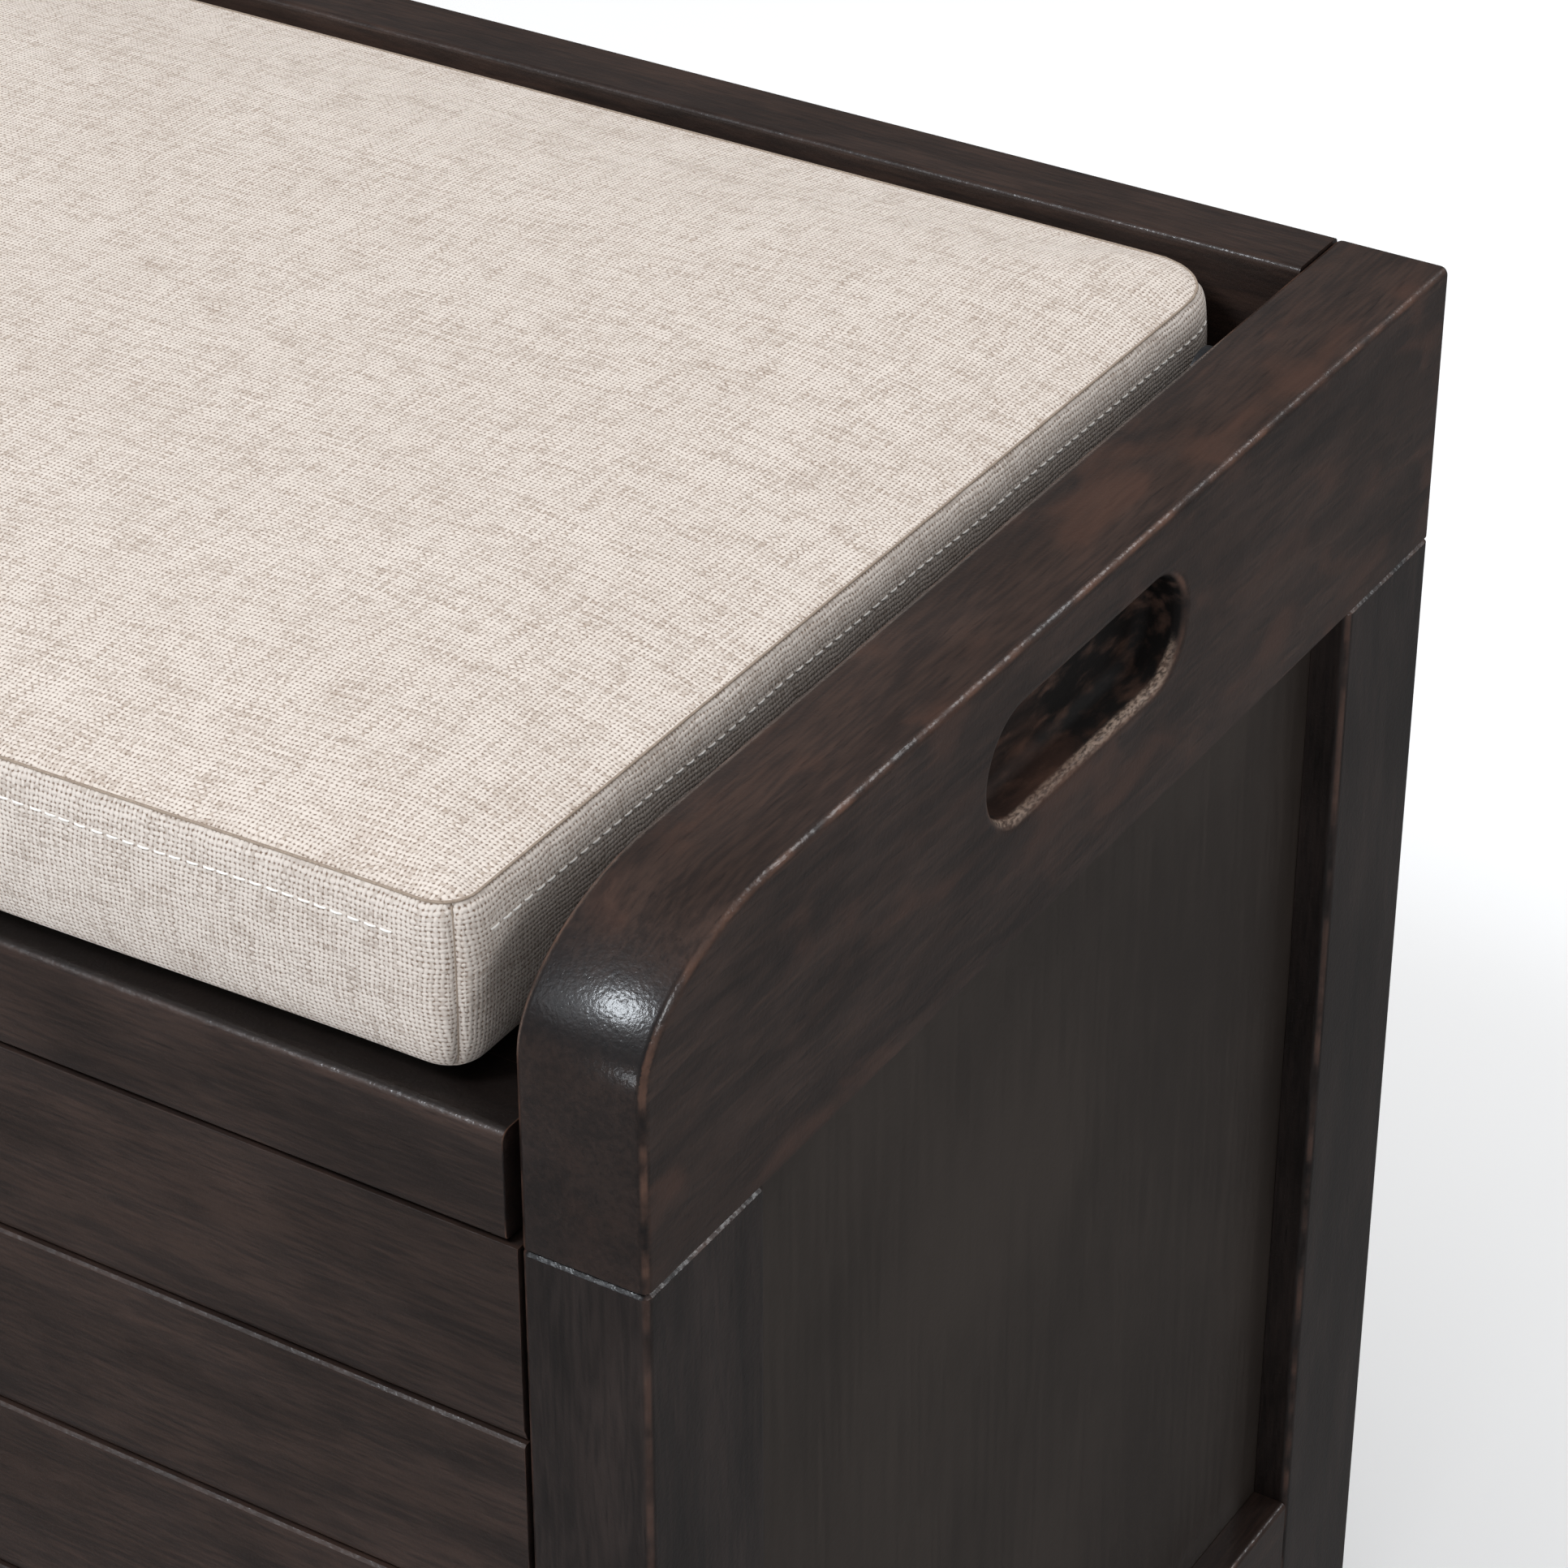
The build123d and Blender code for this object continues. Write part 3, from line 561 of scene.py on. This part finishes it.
def plain_weave(tree, u, v):
    """Height of the cloth, and where the warp lies over the weft."""
    wave_u = maths(tree, "SINE", product(tree, u, math.pi))
    wave_v = maths(tree, "SINE", product(tree, v, math.pi))
    rise_u = product(tree, wave_v, maths(tree, "SIGN", wave_u))
    rise_v = product(tree, wave_u, -1.0, maths(tree, "SIGN", wave_v))
    warp = maths(tree, "MULTIPLY_ADD", rise_u, 0.45, maths(tree, "ABSOLUTE", wave_u))
    weft = maths(tree, "MULTIPLY_ADD", rise_v, 0.5, maths(tree, "ABSOLUTE", wave_v))
    weft = maths(tree, "ADD", weft, WEFT_LEAD)
    return maths(tree, "MAXIMUM", warp, weft), maths(tree, "GREATER_THAN", warp, weft)


def woven(name, yarn, boxing):
    """Plain weave of melange yarns, with painted shade in the pores between them."""
    made, tree, shader, place = surface(name)
    u, v = yarn_axes(tree, place, boxing)
    height, warp_over = plain_weave(tree, u, v)

    level = product(tree, split(tree, place)[2], 90.0)
    yarn_place = add(tree, "CombineXYZ", {0: u, 1: v, 2: level}).outputs[0]
    warp_tint = noise_at(tree, scaled(tree, yarn_place, (0.9, 0.11, 0.3)), 1.0, 2.0)
    weft_tint = noise_at(tree, scaled(tree, yarn_place, (0.11, 0.9, 0.3)), 1.0, 2.0)
    tint = stepped(tree, blended(tree, warp_over, weft_tint, warp_tint), 0.42, 0.78)
    colour = mixed(tree, tint, yarn["pale"], yarn["tan"])
    cloud = stepped(tree, noise_at(tree, place, 26, 3.0), 0.3, 0.7, 0.0, 0.10)
    colour = mixed(tree, cloud, colour, yarn["tan"])
    lump = maths(tree, "MULTIPLY_ADD", noise_at(tree, place, 1400, 1.0), 0.9, height)
    # Painted shade: the pores between the yarns, low in the weave's relief, are darkened
    clear_of_gap_shade = stepped(tree, lump, 0.66, 1.56, yarn["yarn_left_in_gap_shade"], 1.0)
    painted(tree, shader, mixed(tree, clear_of_gap_shade, WEAVE_GAP_SHADE, colour))
    shader.inputs["Roughness"].default_value = 0.92
    shader.inputs["Specular IOR Level"].default_value = 0.15
    shader.inputs["Sheen Weight"].default_value = 0.12
    shader.inputs["Sheen Roughness"].default_value = 0.5
    fuzz = noise_at(tree, place, 3200, 2.0)
    bumped(tree, shader, maths(tree, "MULTIPLY_ADD", fuzz, 0.35, height), WEAVE_HEIGHT, 0.9)
    return made


def spun(name, low, high, scale, detail, roughness, bump):
    """Thread or turned cloth with a twist. A bump is its depth and strength."""
    made, tree, shader, place = surface(name)
    twist = noise_at(tree, place, scale, detail)
    painted(tree, shader, mixed(tree, twist, low, high))
    shader.inputs["Roughness"].default_value = roughness
    bumped(tree, shader, twist, *bump)
    return made


def pale_floor(name):
    """A plain pale floor with very faint clouds."""
    made, tree, shader, place = surface(name)
    cloud = noise_at(tree, place, 1.5, 3.0)
    painted(tree, shader, mixed(tree, cloud, rgb(0.93, 0.93, 0.93), rgb(0.95, 0.95, 0.955)))
    shader.inputs["Roughness"].default_value = 0.9
    shader.inputs["Specular IOR Level"].default_value = 0.1
    return made


# ---------------------------------------------------------------- the CAD pieces

arm_low, arm_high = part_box("arm_rail_right")
openings = frame["record"]["physics"]["openings"]
pull_box = next(room["box_m"] for room in openings if room["name"] == "finger_pull_right")
pull_low = Vector(pull_box[0]) - PULL_ROOM
pull_high = Vector(pull_box[1]) + PULL_ROOM
pull_high.x = arm_high.x

espresso = {
    "dark": rgb(0.021, 0.0140, 0.0120),
    "mid": rgb(0.040, 0.0235, 0.0180),
    "worn": rgb(0.105, 0.052, 0.034),
    "gloss": 0.36,
}
leg_stain = {
    "dark": rgb(0.0135, 0.0102, 0.0094),
    "mid": rgb(0.025, 0.0172, 0.0150),
    "worn": rgb(0.07, 0.038, 0.028),
    "gloss": 0.36,
}
inner_stain = {
    "dark": rgb(0.020, 0.012, 0.009),
    "mid": rgb(0.045, 0.026, 0.018),
    "worn": rgb(0.09, 0.045, 0.03),
    "gloss": 0.5,
    "wear": 0.5,
    "peel": 0.5,
}
wood = {axis: stained_wood("espresso_wood_along_" + axis.lower(), axis, **espresso) for axis in "XYZ"}
arm_wood = stained_wood("espresso_arm_wood", "Y", crown=(arm_low.x + arm_high.x) / 2,
                        pull=(pull_low, pull_high), **espresso)
leg_wood = stained_wood("espresso_leg_wood", "Z", **leg_stain)
# The lid's wood has painted shade on its up-facing top
lid_wood = stained_wood("espresso_painted_shade_lid_wood", "X", painted_shade_on_top=0.85, **espresso)
inner = {axis: stained_wood("inner_wood_along_" + axis.lower(), axis, **inner_stain) for axis in "XYZ"}
panel = plain_panel("stained_panel", rgb(0.023, 0.0175, 0.0145), rgb(0.036, 0.0275, 0.0225), 0.38)
others = {
    "bare_beech": bare_dowel_wood("bare_beech"),
    "zinc_steel": zinc("zinc_steel"),
    "hook_and_loop": hook_tape("hook_and_loop"),
}
others.update({name: moulded(name, *facts) for name, facts in BLACKS.items()})


def grain_axis(name):
    """The axis along which a timber piece was cut: its longest side."""
    low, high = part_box(name)
    size = high - low
    return "XYZ"[list(size).index(max(size))]


def ease(piece):
    """Join the facets, then round every hard edge a little."""
    for polygon in piece.data.polygons:
        polygon.use_smooth = True
    weld = piece.modifiers.new("weld", "WELD")
    weld.merge_threshold = WELD_DISTANCE
    flat = piece.modifiers.new("flat", "DECIMATE")
    flat.decimate_type = "DISSOLVE"
    flat.angle_limit = FLAT_ANGLE
    bevel = piece.modifiers.new("ease", "BEVEL")
    bevel.width = EASE_WIDTH
    bevel.segments = 2
    bevel.limit_method = "ANGLE"
    bevel.angle_limit = EASE_ANGLE
    bevel.use_clamp_overlap = True
    bevel.miter_outer = "MITER_ARC"
    piece.modifiers.new("normals", "WEIGHTED_NORMAL").keep_sharp = True


def timber_finish(name, slot):
    """The material of a timber piece."""
    if name.startswith("side_panel"):
        return panel
    if name.startswith("arm_rail"):
        return arm_wood
    if "_leg_" in name:
        return leg_wood
    if name in ("lid_panel", "lid_front_edge"):
        return lid_wood
    along = grain_axis(name)
    return wood[along] if slot == "espresso_wood" else inner[along]


def dress(name, slot):
    """Give a CAD node its material, and round the corners of sawn timber."""
    piece = frame["nodes"][name]
    solid = slot in ("espresso_wood", "stained_inner_wood")
    piece.data.materials.clear()
    piece.data.materials.append(timber_finish(name, slot) if solid else others.get(slot, panel))
    if solid or slot == "stained_panel":
        ease(piece)


hidden_by_cushion = ("cushion_cover", "cushion_foam")
for subpart in frame["record"]["subparts"]:
    if subpart["node"] not in hidden_by_cushion:
        dress(subpart["node"], subpart["material_slot"])


# ---------------------------------------------------------------- cushion

cover_low, cover_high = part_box("cushion_cover")
half_x = cover_high.x - SEAM_SINK
front_y = cover_low.y + SEAM_SINK
rear_y = cover_high.y - SEAM_SINK
seam_z = cover_high.z - TOP_SEAM_DROP
bottom_z = cover_low.z + BOTTOM_SEAM_RISE
half_y = (rear_y - front_y) / 2
middle_y = (rear_y + front_y) / 2


def grid_lines(half):
    """Places of the grid lines from one side to the other, close together near the seams."""
    inside = np.linspace(-(half - FRONT_CORNER), half - FRONT_CORNER, int(2 * half / GRID_STEP))
    edge = half - np.array(EDGE_STEPS)
    return np.concatenate([-edge[:-1], inside, edge[:-1][::-1]])


lines_x = grid_lines(half_x)
lines_y = grid_lines(half_y)


def corner_radius(y):
    """The front corners are sewn tighter than the rear ones."""
    return REAR_CORNER if y > 0 else FRONT_CORNER


def corner_point(x, y):
    """A grid point, with the square corner zones turned into quarter discs."""
    radius = corner_radius(y)
    reach_x = (abs(x) - (half_x - radius)) / radius
    reach_y = (abs(y) - (half_y - radius)) / radius
    if reach_x <= 0 or reach_y <= 0:
        return x, y
    new_x = half_x - radius + radius * reach_x * math.sqrt(1 - reach_y ** 2 / 2)
    new_y = half_y - radius + radius * reach_y * math.sqrt(1 - reach_x ** 2 / 2)
    return math.copysign(new_x, x), math.copysign(new_y, y)


def inset_of(x, y):
    """How far inside the seam a point of a panel is."""
    in_x = half_x - abs(x)
    in_y = half_y - abs(y)
    radius = corner_radius(y)
    if in_x < radius and in_y < radius:
        return radius - math.hypot(radius - in_x, radius - in_y)
    return min(in_x, in_y)


def lip(distance):
    """The quick swell of the fabric beside a seam, from 0 on the seam to 1."""
    return 1 - math.exp(-(max(distance, 0.0) / SEAM_LIP) ** LIP_SHAPE)


def wave(x, y, z, shape):
    """A smooth random value. Its shape is its height and the length over which it changes."""
    height, length = shape
    return height * noise.noise(Vector((x, y, z)) / length)


def top_height(x, y):
    """Height of the top panel: a lip at the seam, a low crown, puckers and slack."""
    inside = inset_of(x, y)
    crown = TOP_CROWN * (1 - math.exp(-max(inside, 0.0) / CROWN_REACH))
    fade = math.exp(-max(inside, 0.0) / PUCKER_REACH)
    pucker = wave(x, y, PUCKER_LAYER, PUCKER_WAVE) * fade * lip(inside)
    slack = wave(x, y, SLACK_LAYER, SLACK_WAVE) * lip(inside / SLACK_EASE)
    return seam_z - SEAM_SINK + SEAM_SINK * lip(inside) + crown + pucker + slack


def outline_normal(x, y):
    """Outward direction of the boxing at a point of the seam."""
    radius = corner_radius(y)
    off_x = max(abs(x) - (half_x - radius), 0.0)
    off_y = max(abs(y) - (half_y - radius), 0.0)
    length = math.hypot(off_x, off_y)
    return math.copysign(off_x / length, x), math.copysign(off_y / length, y)


def bowed(x, y):
    """How far the filling pushes the front edge forward between its corners."""
    from_corner = (half_x - abs(x)) / BOW_REACH
    return FRONT_BOW * (1 - math.exp(-from_corner ** 2)) * min(y / half_y, 0.0)


def panels(builder):
    """The top and the bottom panel. Each is its points by their grid places."""
    top = {}
    bottom = {}
    for i, grid_x in enumerate(lines_x):
        for j, grid_y in enumerate(lines_y):
            x, y = corner_point(grid_x, grid_y)
            place_y = y + middle_y + bowed(x, y)
            top[i, j] = builder.verts.new((x, place_y, top_height(x, y)))
            sag = BOTTOM_SAG * lip(inset_of(x, y) / SAG_EASE)
            bottom[i, j] = builder.verts.new((x, place_y, bottom_z - sag))
    for i in range(len(lines_x) - 1):
        for j in range(len(lines_y) - 1):
            corners = ((i, j), (i + 1, j), (i + 1, j + 1), (i, j + 1))
            builder.faces.new([top[corner] for corner in corners])
            builder.faces.new([bottom[corner] for corner in reversed(corners)])
    return top, bottom


def boxing_row(builder, rim, corners, drop, height):
    """A row of the boxing at a drop below the top seam, pulled in beside the corners."""
    row = []
    for i, j in rim:
        x, y = corner_point(lines_x[i], lines_y[j])
        normal_x, normal_y = outline_normal(x, y)
        out = SEAM_SINK * lip(drop) * (1 - (drop / height) ** BOXING_TUCK)
        out += SIDE_BULGE * math.sin(math.pi * (drop / height)) + wave(x, y, drop, SIDE_WAVE) * lip(drop)
        from_corner = min(abs(i - corner[0]) + abs(j - corner[1]) for corner in corners)
        if from_corner < len(CORNER_SHARES):
            out -= CORNER_PULL * CORNER_SHARES[from_corner]
        place_y = y + middle_y + bowed(x, y) + normal_y * out
        row.append(builder.verts.new((x + normal_x * out, place_y, seam_z - SEAM_SINK - drop)))
    return row


def cushion_mesh():
    """The sewn cover before it is filled: two panels and a boxing strip, joined at the seams.

    Returns the mesh, the points to hold while it is filled, and the length of a seam in points.
    """
    builder = bmesh.new()
    top, bottom = panels(builder)
    last_x = len(lines_x) - 1
    last_y = len(lines_y) - 1
    rim = [(i, 0) for i in range(last_x)] + [(last_x, j) for j in range(last_y)]
    rim += [(i, last_y) for i in range(last_x, 0, -1)] + [(0, j) for j in range(last_y, 0, -1)]
    corners = ((0, 0), (0, last_y), (last_x, 0), (last_x, last_y))

    height = seam_z - SEAM_SINK - bottom_z
    drops = list(EDGE_STEPS[1:])
    drops += list(np.linspace(BOXING_ROWS_FROM, height - BOXING_ROWS_FROM, BOXING_ROWS))
    drops += [height - step for step in EDGE_STEPS[:0:-1]]
    rows = [[top[place] for place in rim]]
    rows += [boxing_row(builder, rim, corners, drop, height) for drop in drops]
    rows.append([bottom[place] for place in rim])
    for upper, lower in zip(rows, rows[1:]):
        for k in range(len(rim)):
            after = (k + 1) % len(rim)
            face = builder.faces.new((upper[k], lower[k], lower[after], upper[after]))
            face.material_index = 1
    bmesh.ops.recalc_face_normals(builder, faces=builder.faces)
    for face in builder.faces:
        face.smooth = True

    builder.verts.index_update()
    held = [point.index for row in (rows[0], rows[-1]) for point in row]
    held += [row[rim.index(corner)].index for corner in corners for row in rows[1:-1]]
    mesh = bpy.data.meshes.new("cushion")
    builder.to_mesh(mesh)
    builder.free()
    return mesh, held, len(rim)


def points_of(mesh):
    """The places of a mesh's points, one row each."""
    places = np.empty(len(mesh.vertices) * 3, np.float32)
    mesh.vertices.foreach_get("co", places)
    return places.reshape(-1, 3).astype(float)


def inflated(cushion, held):
    """Fill the cover by cloth simulation with the seams held, and cap how far each point moved."""
    start = points_of(cushion.data)
    group = cushion.vertex_groups.new(name="seams")
    group.add(held, 1.0, "REPLACE")
    cloth = cushion.modifiers.new("fill", "CLOTH")
    settings = cloth.settings
    for name, value in CLOTH.items():
        setattr(settings, name, value)
    settings.use_pressure = True
    settings.effector_weights.gravity = 0
    settings.vertex_group_mass = "seams"
    cloth.collision_settings.use_collision = False
    cloth.collision_settings.use_self_collision = False
    cloth.point_cache.frame_start = 1
    cloth.point_cache.frame_end = SIM_FRAMES
    scene = bpy.context.scene
    for number in range(1, SIM_FRAMES + 1):
        scene.frame_set(number)
    filled = points_of(cushion.evaluated_get(bpy.context.evaluated_depsgraph_get()).data)
    cushion.modifiers.remove(cloth)
    cushion.vertex_groups.remove(group)
    scene.frame_set(1)
    step = filled - start
    length = np.linalg.norm(step, axis=1, keepdims=True)
    step *= np.tanh(length / SIM_CAP) * SIM_CAP / np.maximum(length, LEAST_LENGTH)
    return start + step


cushion_data, seam_points, seam_length = cushion_mesh()
cushion = bpy.data.objects.new("seat_cushion", cushion_data)
bpy.context.scene.collection.objects.link(cushion)
cushion_data.materials.append(woven("woven_panel", PANEL_YARN, boxing=False))
# The boxing's material is the panels' cloth with painted shade
cushion_data.materials.append(woven("woven_boxing_painted_shade", BOXING_YARN_PAINTED_SHADE, boxing=True))
places = inflated(cushion, seam_points)
places[:, 2] = np.maximum(places[:, 2], cover_low.z)
places[:, 1] = np.minimum(places[:, 1], cover_high.y + REAR_ROOM)
cushion_data.vertices.foreach_set("co", places.astype(np.float32).ravel())
cushion_data.update()
subdivided = cushion.modifiers.new("smooth", "SUBSURF")
subdivided.levels = 1
subdivided.render_levels = 1
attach(cushion, "lid")
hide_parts("cushion_cover", "cushion_foam")


# ---------------------------------------------------------------- thread and seams

def ring_at(builder, centre, side, out, radius):
    """A ring of points round a centre."""
    ring = []
    for k in range(TUBE_SIDES):
        angle = k * math.tau / TUBE_SIDES
        offset = side * math.cos(angle) + out * math.sin(angle)
        ring.append(builder.verts.new(centre + offset * radius))
    return ring


def tube(builder, rings, closed):
    """Join rings into a tube. It is capped, or joins its own start where it is closed."""
    pairs = list(zip(rings, rings[1:])) + ([(rings[-1], rings[0])] if closed else [])
    for first, second in pairs:
        for k in range(TUBE_SIDES):
            after = (k + 1) % TUBE_SIDES
            face = builder.faces.new((first[k], first[after], second[after], second[k]))
            face.smooth = True
    if not closed:
        builder.faces.new(rings[0][::-1])
        builder.faces.new(rings[-1])


def stitch(builder, start, end, out):
    """One stitch: a short thread that dips into the cloth at both ends."""
    along = end - start
    side = along.normalized().cross(out)
    rings = []
    for share, rise, girth in STITCH_RINGS:
        centre = start + along * share + out * THREAD_RADIUS * rise
        rings.append(ring_at(builder, centre, side, out, THREAD_RADIUS * girth))
    tube(builder, rings, closed=False)


def topstitching():
    """The row of stitches round the boxing, a little below the top seam."""
    skin = BVHTree.FromObject(cushion, bpy.context.evaluated_depsgraph_get())
    builder = bmesh.new()
    z = seam_z - STITCH_DROP
    straight_x = half_x - FRONT_CORNER
    straight_y = half_y - FRONT_CORNER
    # Where each side's row starts, the way it runs, the way the side faces, and half its length
    sides = (
        ((-straight_x, front_y, z), (1, 0, 0), (0, -1, 0), straight_x),
        ((half_x, middle_y - straight_y, z), (0, 1, 0), (1, 0, 0), straight_y),
        ((straight_x, rear_y, z), (-1, 0, 0), (0, 1, 0), straight_x),
        ((-half_x, middle_y + straight_y, z), (0, -1, 0), (-1, 0, 0), straight_y),
    )
    for corner, run, facing, half_length in sides:
        start = Vector(corner)
        along = Vector(run)
        out = Vector(facing)
        for number in range(int(2 * half_length / STITCH_PITCH)):
            at = number * STITCH_PITCH + wave(number, start.x, start.y, STITCH_JITTER)
            ends = []
            for distance in (at, at + STITCH_LENGTH):
                drift = wave(start.x + distance, start.y, 0.0, STITCH_DRIFT)
                aim = start + along * distance + Vector((0, 0, drift))
                ends.append(skin.ray_cast(aim + out * STITCH_REACH, -out)[0])
            stitch(builder, ends[0], ends[1], out)
    bmesh.ops.recalc_face_normals(builder, faces=builder.faces)
    mesh = bpy.data.meshes.new("cushion_topstitch")
    builder.to_mesh(mesh)
    builder.free()
    return mesh


def roll(builder, points, closed):
    """A thin tube through points."""
    count = len(points)
    rings = []
    for k, point in enumerate(points):
        before = points[(k - 1) % count] if closed or k > 0 else point
        after = points[(k + 1) % count] if closed or k < count - 1 else point
        along = (after - before).normalized()
        side = along.cross(Vector((0, 0, 1)))
        if side.length <= UPRIGHT:
            side = along.cross(Vector((1, 1, 0)))
        side = side.normalized()
        rings.append(ring_at(builder, point, side, side.cross(along), SEAM_ROLL))
    tube(builder, rings, closed)


def seam_lines():
    """The seams as they show: thin rolls of turned cloth at the foot of the grooves, dark as painted
    shade.

    The cushion's held points are the top seam, the bottom seam and the four corner seams. The bottom
    seam lies on the lid and has no roll.
    """
    places = [cushion_data.vertices[index].co.copy() for index in seam_points]
    corners = places[2 * seam_length:]
    count = len(corners) // 4
    builder = bmesh.new()
    roll(builder, places[:seam_length], closed=True)
    for first in range(0, len(corners), count):
        roll(builder, corners[first:first + count], closed=False)
    mesh = bpy.data.meshes.new("cushion_seams")
    builder.to_mesh(mesh)
    builder.free()
    return mesh


thread = spun("sewing_thread", rgb(0.70, 0.67, 0.62), rgb(0.92, 0.90, 0.87), scale=2600, detail=1.0,
              roughness=0.7, bump=(0.00008, 0.6))
# The rolls are real cloth; their dark brown is painted shade in the seam grooves
turned = spun("seam_cloth_painted_shade", rgb(0.16, 0.115, 0.085), rgb(0.42, 0.34, 0.27), scale=1500, detail=2.0,
              roughness=0.95, bump=(0.0001, 0.8))
for name, mesh, finish in (("cushion_topstitch", topstitching(), thread),
                           ("cushion_seams", seam_lines(), turned)):
    trim = bpy.data.objects.new(name, mesh)
    bpy.context.scene.collection.objects.link(trim)
    trim.data.materials.append(finish)
    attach(trim, "lid")


# ---------------------------------------------------------------- floor, light and camera

def lamp(name, target, offset, size, power, colour, shines):
    """A square soft light that faces a point."""
    data = bpy.data.lights.new(name, "AREA")
    data.shape = "SQUARE"
    data.size = size
    data.energy = power
    data.color = colour
    made = bpy.data.objects.new(name, data)
    made.location = target + offset
    made.rotation_mode = "QUATERNION"
    made.rotation_quaternion = (-offset).to_track_quat("-Z", "Y")
    made.visible_glossy = shines
    bpy.context.scene.collection.objects.link(made)


bpy.ops.mesh.primitive_plane_add(size=FLOOR_SIZE, location=(0, 0, cad_box[0].z))
floor = bpy.context.object
floor.name = "floor"
floor.data.materials.append(pale_floor("pale_floor"))
floor.visible_glossy = False

arm_corner = Vector((arm_high.x, arm_low.y, arm_high.z))
for lamp_name, lamp_facts in LAMPS.items():
    lamp(lamp_name, arm_corner, *lamp_facts)

ceiling_data = bpy.data.lights.new("ceiling", "SUN")
ceiling_data.energy = SKY_ENERGY
ceiling_data.angle = SKY_ANGLE
ceiling = bpy.data.objects.new("ceiling", ceiling_data)
ceiling.rotation_mode = "QUATERNION"
ceiling.rotation_quaternion = (-SKY_OFFSET).to_track_quat("-Z", "Y")
ceiling.visible_glossy = False
bpy.context.scene.collection.objects.link(ceiling)

# The world is white to the camera
world = bpy.data.worlds.new("studio")
world.use_nodes = True
bpy.context.scene.world = world
sky = world.node_tree
path = add(sky, "LightPath").outputs
glow = blended(sky, path["Is Glossy Ray"], WORLD_LIGHT, WORLD_GLOSS)
glow = blended(sky, path["Is Camera Ray"], glow, 1.0)
background = sky.nodes["Background"]
background.inputs["Color"].default_value = WORLD_COLOUR
sky.links.new(glow, background.inputs["Strength"])

camera_data = bpy.data.cameras.new("camera")
camera_data.lens = CAMERA_LENS
camera_data.clip_start = CAMERA_NEAR
camera_data.clip_end = CAMERA_FAR
camera = bpy.data.objects.new("camera", camera_data)
camera.location = arm_corner + CAMERA_OFFSET
camera.rotation_mode = "QUATERNION"
camera.rotation_quaternion = CAMERA_AIM.to_track_quat("-Z", "Y")
bpy.context.scene.collection.objects.link(camera)
bpy.context.scene.camera = camera

bpy.context.scene.view_settings.view_transform = "Standard"
